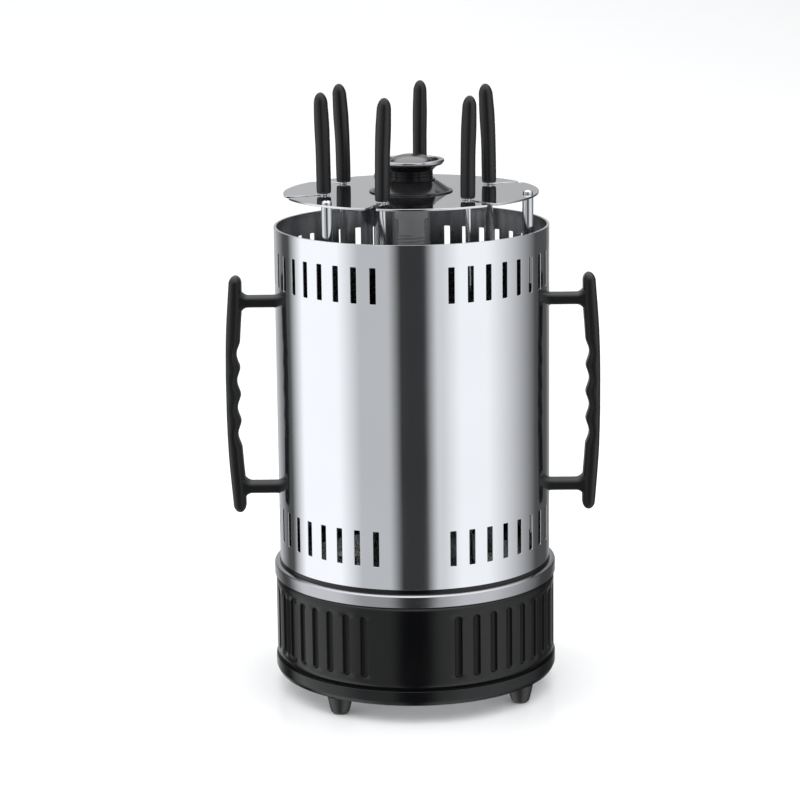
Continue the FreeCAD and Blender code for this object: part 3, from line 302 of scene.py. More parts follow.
STAINLESS = Metal("casing_stainless", (0.69, 0.70, 0.725), 0.075, Grain.UPRIGHT, 0.05)
FINISHES: dict[str, Finish] = {
    "housing_black": Moulded("housing_moulding", (0.0018, 0.0019, 0.0023), 0.14, depth=0.000003, gloss=0.34),
    "ring_silver": Metal("ring_satin", (0.40, 0.40, 0.42), 0.17, Grain.AROUND, 0.05),
    "foot_black": Moulded("foot_moulding", (0.008, 0.008, 0.0085), 0.36),
    "screw_steel": Metal("screw_zinc", (0.62, 0.62, 0.63), 0.22),
    "sheet_zinc": Metal("sheet_zinc", (0.56, 0.58, 0.60), 0.34, Grain.ACROSS, 0.10),
    "deck_steel": Metal("deck_stainless", (0.66, 0.67, 0.68), 0.20, Grain.NONE, 0.08),
    "plate_steel": Metal("plate_stainless", (0.58, 0.59, 0.61), 0.045, Grain.ACROSS, 0.03),
    "casing_steel": STAINLESS,
    "ceramic_white": Fired("heater_ceramic", (0.72, 0.71, 0.69)),
    "quartz": Quartz("heater_quartz", (0.80, 0.83, 0.85)),
    "heating_wire": Metal("heating_wire", (0.30, 0.28, 0.27), 0.42),
    "post_chrome": Metal("post_polish", (0.52, 0.53, 0.55), 0.05, Grain.AROUND, 0.03),
    "knob_black": Moulded("knob_moulding", (0.012, 0.012, 0.013), 0.12, 900.0, 0.000004),
    "knob_chrome": Metal("knob_plating", (0.42, 0.42, 0.43), 0.24, Grain.AROUND, 0.06),
    "knob_crown": Metal("crown_plating", (0.17, 0.17, 0.175), 0.20, Grain.NONE, 0.05),
    "pin_brass": Metal("pin_brass", (0.80, 0.62, 0.33), 0.20, Grain.NONE, 0.05),
    "block_natural": Moulded("block_moulding", (0.78, 0.76, 0.70), 0.42, worn=1.08),
    "handle_black": Moulded("handle_moulding", (0.004, 0.004, 0.0045), 0.34, gloss=0.38),
    "gear_natural": Moulded("gear_nylon", (0.76, 0.74, 0.67), 0.40, worn=1.08),
    "blade_steel": Metal("blade_stainless", (0.62, 0.62, 0.64), 0.16, Grain.UPRIGHT, 0.06),
    "grip_black": Moulded("grip_moulding", (0.004, 0.004, 0.0045), 0.32, gloss=0.4),
}
SLOTS: dict[str, str] = {s["node"]: s["material_slot"] for s in frame["record"]["subparts"]}
BODIES: dict[str, str] = {n: b for b, nodes in frame["record"]["behaviour"]["bodies"].items() for n in nodes}


# ---------------------------------------------------------------- mesh building
def settle(piece: bpy.types.Object, *nodes: str) -> bpy.types.Object:
    """Put a finished piece in the place of CAD nodes, on their body and in their finish.

    Args:
        piece: the piece, in place.
        nodes: CAD nodes that it stands for.

    Returns:
        The piece.
    """
    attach(piece, BODIES[nodes[0]])
    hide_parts(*nodes)
    FINISHES[SLOTS[nodes[0]]].paint(piece)
    log.info("%s stands for %s", piece.name, ", ".join(nodes))
    return piece


def mesh_piece(name: str, spots: Iterable[Sequence[float]], faces: Sequence[Sequence[int]],
               crease: float = 32.0) -> bpy.types.Object:
    """Make an object of corners in millimetres and faces, welded, with its normals outwards.

    Args:
        name: name of the piece.
        spots: corners in millimetres.
        faces: corner numbers of each face.
        crease: edges that turn by more than this many degrees stay sharp.

    Returns:
        The new object.
    """
    mesh = bpy.data.meshes.new(name)
    mesh.from_pydata([Vector(s) * MM for s in spots], [], faces)
    work = bmesh.new()
    work.from_mesh(mesh)
    bmesh.ops.remove_doubles(work, verts=work.verts, dist=0.002 * MM)
    bmesh.ops.dissolve_degenerate(work, edges=work.edges, dist=0.001 * MM)
    bmesh.ops.recalc_face_normals(work, faces=work.faces)
    work.to_mesh(mesh)
    work.free()
    mesh.shade_smooth()
    mesh.set_sharp_from_angle(angle=math.radians(crease))
    piece = bpy.data.objects.new(name, mesh)
    bpy.context.scene.collection.objects.link(piece)
    return piece


def merge(name: str, pieces: Sequence[bpy.types.Object]) -> bpy.types.Object:
    """Join several objects into one piece.

    Args:
        name: name of the piece.
        pieces: the objects; the first one is kept.

    Returns:
        The joined object.
    """
    with bpy.context.temp_override(active_object=pieces[0], selected_editable_objects=list(pieces)):
        bpy.ops.object.join()
    pieces[0].name = pieces[0].data.name = name
    return pieces[0]


def rounded(corners: Sequence[Corner], steps: int = 4) -> list[Pair]:
    """Round the corners of a closed outline.

    Args:
        corners: (u, w, radius) of each corner.
        steps: straight pieces to each rounding.

    Returns:
        Points of the rounded outline.
    """
    points: list[Pair] = []
    for i, (u, w, radius) in enumerate(corners):
        here = Vector((u, w))
        before = Vector(corners[i - 1][:2]) - here
        after = Vector(corners[(i + 1) % len(corners)][:2]) - here
        half = before.angle(after) / 2 if radius else 0.0
        if not radius or half < 0.02 or half > math.pi / 2 - 0.02:
            points.append((u, w))
            continue
        reach = min(radius / math.tan(half), 0.49 * before.length, 0.49 * after.length)
        start, end = here + before.normalized() * reach, here + after.normalized() * reach
        for k in range(steps + 1):
            t = k / steps
            spot = start * (1 - t) ** 2 + here * (2 * t * (1 - t)) + end * t ** 2
            points.append((spot.x, spot.y))
    return points


def polar(radius: float, angle: float) -> Pair:
    """Place on a circle, the angle in degrees from the front towards the right."""
    a = math.radians(angle)
    return radius * math.sin(a), -radius * math.cos(a)


def lathe(name: str, outline: Sequence[Pair], centre: Pair = (0.0, 0.0), around: int = 96,
          crease: float = 32.0) -> bpy.types.Object:
    """Turn a closed half section of (radius, height) about an upright axis.

    Args:
        name: name of the piece.
        outline: points of the section.
        centre: place of the axis.
        around: corners of each ring.
        crease: sharpest turn that is still shaded smooth, in degrees.

    Returns:
        The new object.
    """
    spots, faces, n = [], [], len(outline)
    for k in range(around):
        for r, z in outline:
            x, y = polar(r, 360.0 * k / around)
            spots.append((x + centre[0], y + centre[1], z))
    for k in range(around):
        for i in range(n):
            j, m = (i + 1) % n, (k + 1) % around
            faces.append((k * n + i, k * n + j, m * n + j, m * n + i))
    return mesh_piece(name, spots, faces, crease)


def loft(name: str, rings: Sequence[Sequence[Vector]], crease: float = 40.0) -> bpy.types.Object:
    """Skin a row of rings of equal count and close its ends.

    Args:
        name: name of the piece.
        rings: corners of each ring, in millimetres.
        crease: sharpest turn that is still shaded smooth, in degrees.

    Returns:
        The new object.
    """
    n = len(rings[0])
    faces = [(k * n + i, k * n + (i + 1) % n, (k + 1) * n + (i + 1) % n, (k + 1) * n + i)
             for k in range(len(rings) - 1) for i in range(n)]
    faces += [tuple(range(n)), tuple((len(rings) - 1) * n + i for i in range(n))]
    return mesh_piece(name, [s for ring in rings for s in ring], faces, crease)


def squircle(half_u: float, half_w: float, power: float, count: int) -> list[Pair]:
    """Ring between an ellipse and a rectangle.

    Args:
        half_u: half of its width.
        half_w: half of its height.
        power: 2 for an ellipse, more for squarer corners.
        count: number of corners.

    Returns:
        The corners in order.
    """
    ring = []
    for k in range(count):
        c, s = math.cos(2 * math.pi * k / count), math.sin(2 * math.pi * k / count)
        ring.append((half_u * math.copysign(abs(c) ** (2 / power), c),
                     half_w * math.copysign(abs(s) ** (2 / power), s)))
    return ring


def glide(stops: Sequence[Pair], at: float) -> float:
    """Smooth value between stops.

    Args:
        stops: (position, value) of each stop, in rising order of position.
        at: position of the wanted value.

    Returns:
        The value there, and past the ends the end stop's value.
    """
    if at <= stops[0][0]:
        return stops[0][1]
    for i in range(len(stops) - 1):
        (p0, v0), (p1, v1) = stops[i], stops[i + 1]
        if at <= p1:
            slope = [0.0, 0.0]
            for side, k in ((0, i), (1, i + 1)):
                if 0 < k < len(stops) - 1:
                    slope[side] = (stops[k + 1][1] - stops[k - 1][1]) / (stops[k + 1][0] - stops[k - 1][0])
            t, span = (at - p0) / (p1 - p0), p1 - p0
            return ((2 * t ** 3 - 3 * t ** 2 + 1) * v0 + (t ** 3 - 2 * t ** 2 + t) * slope[0] * span
                    + (3 * t ** 2 - 2 * t ** 3) * v1 + (t ** 3 - t ** 2) * slope[1] * span)
    return stops[-1][1]


@dataclass(frozen=True)
class Opening:
    """Upright rounded slot in the middle of a tile of round wall."""
    half_wide: float
    half_tall: float
    corner: float
    wall: float
    span: float
    tile_tall: float
    arc: int = 3
    flat: int = 2

    def loop(self, inset: float = 0.0) -> tuple[list[Pair], list[Pair]]:
        """Matching closed loops round the slot and round its tile, as (degrees, height).

        Args:
            inset: how far inside the slot's edge its loop runs.

        Returns:
            The slot's loop and the tile's loop.
        """
        wide = math.radians(self.span / 2) * self.wall
        cu, cw = self.half_wide - self.corner, self.half_tall - self.corner
        radius, turn = self.corner - inset, math.atan2(self.tile_tall - cw, wide - cu)
        sweep = [turn * k / self.arc for k in range(self.arc)]
        sweep += [turn + (math.pi / 2 - turn) * k / self.arc for k in range(self.arc + 1)]
        slot, tile = [], []
        for su, sw, order in ((1, 1, 1), (-1, 1, -1), (-1, -1, 1), (1, -1, -1)):
            for t in sweep[::order]:
                c, s = math.cos(t), math.sin(t)
                rim = ((wide, cw + (wide - cu) * s / c) if t <= turn
                       else (cu + (self.tile_tall - cw) * c / s, self.tile_tall))
                slot.append((su * (cu + radius * c), sw * (cw + radius * s)))
                tile.append((su * rim[0], sw * rim[1]))
            for k in range(1, self.flat + 1 if order == 1 and cu > 0.01 else 1):
                u = su * cu * (1 - 2 * k / (self.flat + 1))
                slot.append((u, sw * (self.half_tall - inset)))
                tile.append((u, sw * self.tile_tall))
        turned = [[(math.degrees(u / self.wall), w) for u, w in ring] for ring in (slot, tile)]
        return turned[0], turned[1]

    def top_marks(self) -> list[float]:
        """Angles of the corners on the tile's top edge, from its middle."""
        return sorted({round(a, 5) for a, w in self.loop()[1] if w > self.tile_tall - 1e-6})

    def side_marks(self) -> list[float]:
        """Heights of the corners on the tile's side edge, from its middle."""
        return sorted({round(w, 5) for a, w in self.loop()[1] if a > self.span / 2 - 1e-5})


@dataclass
class Wrap:
    """Mesh laid round the upright axis, its corners given as (angle in degrees, height, radius)."""
    lines: list[float] = field(default_factory=list)
    spots: list[Corner] = field(default_factory=list)
    faces: list[tuple[int, ...]] = field(default_factory=list)

    def corner(self, angle: float, height: float, radius: float) -> int:
        """Add a corner and return its number."""
        self.spots.append((*polar(radius, angle), height))
        return len(self.spots) - 1

    def strip(self, near: Sequence[Corner], far: Sequence[Corner]) -> None:
        """Skin the strip between two closed rings of equal count.

        Args:
            near: corners of one ring.
            far: corners of the other ring.
        """
        a, b = [self.corner(*c) for c in near], [self.corner(*c) for c in far]
        for i in range(len(a)):
            j = (i + 1) % len(a)
            self.faces.append((a[i], a[j], b[j], b[i]))

    def turn(self, section: Sequence[Pair]) -> None:
        """Turn an open half section on the wall's own edge lines.

        Args:
            section: (radius, height) of its points.
        """
        rings = [[(a, z, r) for a in self.lines] for r, z in section]
        for near, far in zip(rings, rings[1:]):
            self.strip(near, far)

    def rule(self, middles: Sequence[float], slot: Opening, gap: float = 1.4) -> None:
        """Set the upright edge lines round the wall.

        Args:
            middles: angles of the tiles.
            slot: the opening in each tile.
            gap: widest step in the plain stretches, in degrees.
        """
        marks = sorted((m + k) % 360.0 for m in middles for k in slot.top_marks())
        marks = [a for i, a in enumerate(marks) if i == 0 or a - marks[i - 1] > 0.002]
        for a, b in zip(marks, marks[1:] + [marks[0] + 360.0]):
            n = math.ceil((b - a) / gap) if b - a > 2 * gap else 1
            self.lines += [a + (b - a) * k / n for k in range(n)]

    def skin(self, middles: Sequence[float], slot: Opening, rows: Sequence[float], radius: float,
             low: float, high: float) -> None:
        """Skin the plain parts of a wall, with its tiles left out.

        Args:
            middles: angles of the tiles.
            slot: the opening in each tile.
            rows: heights of the middles of the rows of tiles.
            radius: radius of this skin.
            low: its lower edge.
            high: its upper edge.
        """
        levels = [low] + [row + mark for row in rows for mark in slot.side_marks()] + [high]
        for z0, z1 in zip(levels, levels[1:]):
            tiled = any(abs((z0 + z1) / 2 - row) < slot.tile_tall for row in rows)
            for a, b in zip(self.lines, self.lines[1:] + [self.lines[0] + 360.0]):
                if tiled and any(abs(((a + b) / 2 - m + 180) % 360 - 180) < slot.span / 2 for m in middles):
                    continue
                spots = ((a, z0, radius), (b, z0, radius), (b, z1, radius), (a, z1, radius))
                self.faces.append(tuple(self.corner(*s) for s in spots))

    def pierce(self, middles: Sequence[float], slot: Opening, rows: Sequence[float],
               steps: Sequence[Pair], through: bool) -> None:
        """Skin the tiles and the sides of their openings.

        Args:
            middles: angles of the tiles.
            slot: the opening in each tile.
            rows: heights of the middles of the rows of tiles.
            steps: (inset, radius) of each loop of an opening, from the outside inwards.
            through: whether the opening goes through to an inner skin, or has a floor.
        """
        loops = [(slot.loop()[1], steps[0][1])] + [(slot.loop(i)[0], r) for i, r in steps]
        loops += [(slot.loop()[1], steps[-1][1])] if through else []
        for middle in middles:
            for row in rows:
                rings = [[(middle + a, row + w, r) for a, w in ring] for ring, r in loops]
                for near, far in zip(rings, rings[1:]):
                    self.strip(near, far)
                if not through:
                    self.faces.append(tuple(self.corner(*c) for c in rings[-1]))


def stations(first: float, span: float, count: int, turn: float = 0.0) -> list[float]:
    """Angles of two mirrored rows of openings, right then left, a fixed span apart."""
    return [turn + side * (first + span * k) for side in (1, -1) for k in range(count)]


def true_round(piece: bpy.types.Object, *radii: float) -> None:
    """Shade the round skins of a wall as true cylinders, and leave the rest as it is.

    Args:
        piece: wall about the upright axis.
        radii: radius of each skin.
    """
    level, near, facing = 0.02, 0.12, 0.9
    mesh = piece.data
    normals = [Vector(n.vector) for n in mesh.corner_normals]
    for face in mesh.polygons:
        middle = face.center.xy.length / MM
        if abs(face.normal.z) < level and any(abs(middle - r) < near for r in radii):
            for i in face.loop_indices:
                out = mesh.vertices[mesh.loops[i].vertex_index].co.xy.normalized()
                along = face.normal.xy.dot(out)
                if abs(along) > facing:
                    normals[i] = Vector((*out, 0.0)) * math.copysign(1.0, along)
    mesh.normals_split_custom_set(normals)


def flat_blank(name: str, outline: Sequence[Pair], holes: Sequence[Sequence[Pair]],
               low: float, high: float, edge: float) -> bpy.types.Object:
    """Blank out a flat sheet with a small break along every edge.

    Args:
        name: name of the piece.
        outline: its closed outline.
        holes: closed outlines cut out of it.
        low: height of its underside.
        high: height of its face.
        edge: size of the edge break.

    Returns:
        The new object.
    """
    curve = bpy.data.curves.new(name, "CURVE")
    curve.dimensions, curve.fill_mode = "2D", "BOTH"
    curve.extrude = ((high - low) / 2 - edge) * MM
    curve.bevel_depth, curve.bevel_resolution, curve.offset = edge * MM, 2, -edge * MM
    for ring in (outline, *holes):
        spline = curve.splines.new("POLY")
        spline.points.add(len(ring) - 1)
        for point, (x, y) in zip(spline.points, ring):
            point.co = (x * MM, y * MM, 0.0, 1.0)
        spline.use_cyclic_u = True
    drawn = bpy.data.objects.new(name + "_outline", curve)
    bpy.context.scene.collection.objects.link(drawn)
    mesh = bpy.data.meshes.new_from_object(drawn.evaluated_get(bpy.context.evaluated_depsgraph_get()))
    bpy.data.objects.remove(drawn)
    mesh.transform(Matrix.Translation((0, 0, (high + low) / 2 * MM)))
    mesh.name = name
    for face in mesh.polygons:
        face.use_smooth = abs(face.normal.z) < 0.999
    piece = bpy.data.objects.new(name, mesh)
    bpy.context.scene.collection.objects.link(piece)
    return piece


def hollow_out(piece: bpy.types.Object, low: Corner, high: Corner, crease: float = 32.0) -> None:
    """Cut a square opening out of a piece.

    Args:
        piece: the piece.
        low: lowest corner of the opening.
        high: highest corner of the opening.
        crease: sharpest turn that is still shaded smooth, in degrees.
    """
    sides = [(x, y, z) for x in (low[0], high[0]) for y in (low[1], high[1]) for z in (low[2], high[2])]
    faces = [(0, 1, 3, 2), (4, 6, 7, 5), (0, 4, 5, 1), (2, 3, 7, 6), (0, 2, 6, 4), (1, 5, 7, 3)]
    tool = mesh_piece("opening_tool", sides, faces)
    cut = piece.modifiers.new("opening", "BOOLEAN")
    cut.object, cut.solver = tool, "EXACT"
    mesh = bpy.data.meshes.new_from_object(piece.evaluated_get(bpy.context.evaluated_depsgraph_get()))
    piece.modifiers.clear()
    piece.data = mesh
    bpy.data.objects.remove(tool)
    mesh.shade_smooth()
    mesh.set_sharp_from_angle(angle=math.radians(crease))


def circle(radius: float, count: int = 64) -> list[Pair]:
    """Closed ring of points about the upright axis."""
    return [polar(radius, 360.0 * k / count) for k in range(count)]


def middle_of(node: str) -> Pair:
    """Place of the upright axis through the middle of a CAD node, in millimetres."""
    low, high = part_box(node)
    return (low.x + high.x) / 2 / MM, (low.y + high.y) / 2 / MM


# ---------------------------------------------------------------- sub-assemblies
@dataclass
class Casing:
    """Polished tube round the cooking space, open at both ends, with two rows of slots."""
    outside: float = 100.0
    inside: float = 99.0
    low: float = 98.4
    high: float = 345.4
    rim: float = 0.42
    rows: Pair = (127.5, 316.3)
    first: float = 15.9
    slots_each_way: int = 19
    edge: float = 0.15
    hem: float = 1.0
    hem_deep: float = 3.0
    slot: Opening = Opening(2.25, 12.8, 0.45, 100.0, 8.2333, 16.8)
    # Inner skin: the same steel, left rougher, with its colour darkened as painted shade inside the tube.
    matt_shaded_inside: Metal = Metal("casing_lining", (0.42, 0.425, 0.44), 0.16, Grain.UPRIGHT, 0.06)

    def build(self) -> None:
        """Make the tube and shade its skins truly round."""
        middles = stations(self.first, self.slot.span, self.slots_each_way)
        wall = Wrap()
        wall.rule(middles, self.slot)
        low, high = self.low + self.rim, self.high - self.rim
        for radius in (self.outside, self.inside):
            wall.skin(middles, self.slot, self.rows, radius, low, high)
        steps = [(-self.edge, self.outside), (0.0, self.outside - self.edge),
                 (0.0, self.inside + self.edge), (-self.edge, self.inside)]
        wall.pierce(middles, self.slot, self.rows, steps, True)
        out, inn, r = self.outside, self.inside, self.rim
        lip = rounded([(out, 0, 0), (out, r, r), (inn, r, r), (inn, 0, 0)])
        hemmed, under = inn - self.hem, r - self.hem_deep
        hem = rounded([(out, 0, 0), (out, r, r), (hemmed, r, r), (hemmed, under, 0.3), (inn, under, 0),
                       (inn, 0, 0)])
        wall.turn([(u, high + w) for u, w in hem])
        wall.turn([(u, low - w) for u, w in lip])
        piece = mesh_piece("casing_tube", wall.spots, wall.faces, 50.0)
        settle(piece, "casing_shell")
        # The inner skin's faces take the darker steel, which is painted shade inside the tube.
        piece.data.materials.append(self.matt_shaded_inside.material)
        for face in piece.data.polygons:
            reach = face.center.xy.length
            inward = face.normal.xy.dot(face.center.xy) < -0.5 * reach
            face.material_index = int(inward and reach < (inn + 0.3) * MM)
        true_round(piece, self.outside, self.inside)


@dataclass
class LiftingHandle:
    """Black handle: a bowed grip with finger troughs on its inner face, on two short arms."""
    side: Side
    middle: float = 219.8
    half_long: float = 88.5
    inner: float = 126.6
    half_wide: float = 8.5
    foot: float = 99.3
    arm: float = 69.7
    arm_half: float = 4.1
    trough_pitch: float = 20.0
    trough_deep: float = 2.5
    end: float = 5.6
    grip_flare: Pair = (2.6, 4.5)
    foot_flare: Pair = (0.5, 2.7)
    bow: tuple[Pair, ...] = ((0, 137.5), (20, 137.4), (48, 136.5), (84, 133.8), (88.5, 133.5))
    hollow: tuple[Pair, ...] = ((0, 0), (34, 0), (50, -0.9), (64, -2.0), (74, -2.2), (88.5, -2.2))

    def inner_face(self, h: float) -> float:
        """Distance of the grip's inner face from the axis.

        Args:
            h: height from the grip's middle.

        Returns:
            The distance.
        """
        wave = 0.5 - 0.5 * math.cos(2 * math.pi * h / self.trough_pitch)
        inside = abs(h) < 2 * self.trough_pitch
        return self.inner + inside * self.trough_deep * wave ** 0.8 + glide(self.hollow, abs(h))

    def grip(self) -> bpy.types.Object:
        """Loft the grip from end to end.

        Returns:
            The grip.
        """
        straight, steps, rings = self.half_long - self.end, 160, []
        heights = [straight * (2 * k / steps - 1) for k in range(steps + 1)]
        curl = [straight + self.end * math.sin(math.radians(t)) for t in range(6, 91, 6)]
        for h in [-c for c in reversed(curl)] + heights + curl:
            t = max(0.0, (abs(h) - straight) / self.end)
            shrink = math.sqrt(max(0.0, 1 - t * t)) or 0.05
            near, far = self.inner_face(h), glide(self.bow, abs(h))
            ring = squircle((far - near) / 2 * shrink, self.half_wide - self.end * (1 - shrink), 3.0, 56)
            rings.append([Vector(((near + far) / 2 + u, w, self.middle + h)) for u, w in ring])
        return loft("grip", rings, 60.0)

    def arm_piece(self, h: float) -> bpy.types.Object:
        """Loft one arm outwards, flaring softly at both of its ends.

        Args:
            h: height from the grip's middle.

        Returns:
            The arm.
        """
        face, steps, rings = self.inner_face(h), 24, []
        reach = face + 2.0
        (grip_out, grip_long), (foot_out, foot_long) = self.grip_flare, self.foot_flare
        for k in range(steps + 1):
            x = self.foot + (reach - self.foot) * k / steps
            flare = grip_out * max(0.0, (x - face + grip_long) / grip_long) ** 2
            flare += foot_out * max(0.0, (self.foot + foot_long - x) / foot_long) ** 2
            ring = squircle(self.arm_half + flare, self.half_wide - 0.9, 4.0, 40)
            rings.append([Vector((x, w, self.middle + h + u)) for u, w in ring])
        return loft("arm", rings, 60.0)

    def build(self) -> None:
        """Make the handle on its side of the casing."""
        name = self.side.name.lower()
        parts = [self.grip(), self.arm_piece(self.arm), self.arm_piece(-self.arm)]
        piece = merge("lifting_handle_" + name, parts)
        if self.side is Side.LEFT:
            piece.data.transform(Matrix.Rotation(math.pi, 4, "Z"))
        settle(piece, "handle_" + name)


@dataclass
class Base:
    """Black fluted housing with its silver ring, rubber feet and power inlet."""
    panel: float = 103.2
    panel_low: float = 25.2
    panel_high: float = 86.5
    row: float = 55.55
    first: float = 19.1
    turn: float = -1.9
    flutes_each_way: int = 19
    flute: Opening = Opening(3.2, 23.25, 3.2, 103.2, 7.8778, 25.25, 6, 0)
    steps: tuple[Pair, ...] = ((0.0, 0.0), (0.35, 0.12), (0.6, 0.5), (0.75, 1.6), (1.3, 2.1))
    wall: Section = (
        (103.2, 86.5, 0), (100, 86.5, 0), (100, 98.4, 0.2), (98.5, 98.4, 0), (98.5, 103.4, 0.5),
        (96.2, 103.4, 0.5), (96.2, 79, 0), (92, 79, 0.3), (92, 76, 0.3), (98.7, 69.3, 0.5), (98.7, 13.5, 0.3),
        (102.8, 13.5, 0.6), (104.2, 16.7, 1.2), (104.2, 24.4, 0.6), (102.2, 24.4, 0.15), (102.2, 25.2, 0.15),
        (103.2, 25.2, 0))
    seat: Section = ((100.25, 86.5, 0.1), (104.2, 86.5, 0.3), (104.2, 94.2, 0.5), (103.5, 95.1, 0.6),
                     (101.55, 95.6, 0.3), (100.25, 95.6, 0.1))
    foot: Section = ((1.75, 6, 0), (3.6, 6, 0), (3.6, 0, 0.3), (5.2, 0, 0.5), (6.7, 1.6, 1.2), (7.6, 4.6, 2),
                     (9.6, 13.5, 0.3), (1.75, 13.5, 0))
    port: tuple[Corner, Corner] = ((-12.2, 90.0, 27.2), (12.2, 110.0, 42.6))
    inlet_middle: float = 34.9
    inlet_stops: tuple[Corner, ...] = (
        (81.6, 11.7, 7.2), (81.9, 12, 7.5), (101.2, 12, 7.5), (101.6, 11.6, 7.1), (101.6, 10.3, 5.8),
        (101.3, 10, 5.5), (88.6, 9.8, 5.3))
    # Flute recesses: grained, matt plastic whose slightly darker colour is painted shade.
    recess: Moulded = Moulded("flute_texture", (0.0015, 0.0015, 0.0017), 0.42, 1800.0, 0.00001, gloss=0.22)

    def housing(self) -> None:
        """Make the fluted shell and cut the port for the inlet."""
        middles = stations(self.first, self.flute.span, self.flutes_each_way, self.turn)
        shell = Wrap()
        shell.rule(middles, self.flute)
        shell.skin(middles, self.flute, [self.row], self.panel, self.panel_low, self.panel_high)
        shell.pierce(middles, self.flute, [self.row], [(i, self.panel - d) for i, d in self.steps], False)
        shell.turn(rounded(self.wall))
        piece = mesh_piece("fluted_housing", shell.spots, shell.faces, 50.0)
        true_round(piece, self.panel)
        hollow_out(piece, *self.port, 50.0)
        settle(piece, "base_housing")
        # Faces inside the flutes take the darker finish, which is painted shade in the recesses.
        piece.data.materials.append(self.recess.material)
        for face in piece.data.polygons:
            depth = self.panel - face.center.xy.length / MM
            height = face.center.z / MM - self.row
            face.material_index = int(0.25 < depth < 3.0 and abs(height) < self.flute.tile_tall + 0.2)

    def ring(self) -> None:
        """Turn the silver ring that seats the casing."""
        settle(lathe("silver_ring", rounded(self.seat), around=256), "trim_ring")

    def feet(self) -> None:
        """Turn the four feet."""
        for node in (f"foot_{k}" for k in range(1, 5)):
            settle(lathe("rubber_" + node, rounded(self.foot), middle_of(node), 48), node)

    def inlet(self) -> None:
        """Loft the inlet's shell with its deep pit."""
        rings = []
        for y, wide, tall in self.inlet_stops:
            ring = rounded([(wide, tall, 2), (-wide, tall, 2), (-wide, -tall, 2), (wide, -tall, 2)])
            rings.append([Vector((u, y, self.inlet_middle + w)) for u, w in ring])
        settle(loft("inlet_shell", rings, 50.0), "power_inlet")

    def build(self) -> None:
        """Make every piece of the base."""
        self.housing()
        self.ring()
        self.feet()
        self.inlet()


@dataclass
class Heater:
    """Quartz heater between its ceramic socket and cap, and the posts that carry the plate."""
    socket: Section = ((2, 73, 0), (9.6, 73, 0.3), (9.6, 80, 0), (17, 80, 0.8), (17, 97, 0.8),
                       (13.8, 97, 0.6), (13.8, 86, 0), (9.4, 86, 0.3), (9.4, 81, 0), (2, 81, 0))
    tube: Section = ((12.2, 86, 0.3), (13.7, 86, 0.3), (13.7, 355.9, 0.3), (12.2, 355.9, 0.3))
    cap: Section = ((0, 353.7, 0), (9.4, 353.7, 0), (9.4, 349.9, 0.3), (12, 349.9, 0.3), (12, 356.1, 0),
                    (13.7, 356.1, 0.4), (13.7, 367.9, 0.4), (3.05, 367.9, 0), (3.05, 360.4, 0), (0, 360.4, 0))
    wire: float = 0.45
    pitch: float = 2.4
    steps: int = 20
    post: Section = ((0.01, 80, 0), (4, 80, 0.3), (4, 367.9, 0.3), (0.01, 367.9, 0))
    head: Section = ((0.01, 357.9, 0), (2, 357.9, 0.2), (2, 369.4, 0), (3.7, 369.4, 0.2), (3.5, 371.2, 1.3),
                     (1.5, 372, 1), (0.01, 372, 0))

    def coil(self) -> None:
        """Wind the heating wire round the core, between the ends of the CAD coil."""
        low, high = (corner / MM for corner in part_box("heater_coil"))
        reach, bottom = (high.x - low.x) / 2 - self.wire, low.z + self.wire
        tall = high.z - low.z - 2 * self.wire
        count = round(tall / self.pitch) * self.steps
        rings, section = [], circle(self.wire, 6)
        for k in range(count + 1):
            (ox, oy), height = polar(1.0, 360.0 * k / self.steps), bottom + tall * k / count
            rings.append([Vector((ox * (reach + u), oy * (reach + u), height + w)) for u, w in section])
        settle(loft("heating_coil", rings, 60.0), "heater_coil")

    def build(self) -> None:
        """Turn the heater's pieces, the posts and the domed screws on them."""
        self.coil()
        settle(lathe("ceramic_socket", rounded(self.socket)), "heater_socket")
        settle(lathe("quartz_tube", rounded(self.tube), around=128), "heater_tube")
        settle(lathe("ceramic_cap", rounded(self.cap)), "heater_cap")
        heads = []
        for k in range(1, 4):
            place = middle_of(f"post_{k}")
            settle(lathe(f"polished_post_{k}", rounded(self.post), place, 64), f"post_{k}")
            heads.append(lathe("dome", rounded(self.head), place, 48, 45.0))
        settle(merge("domed_screws", heads), "plate_screws")


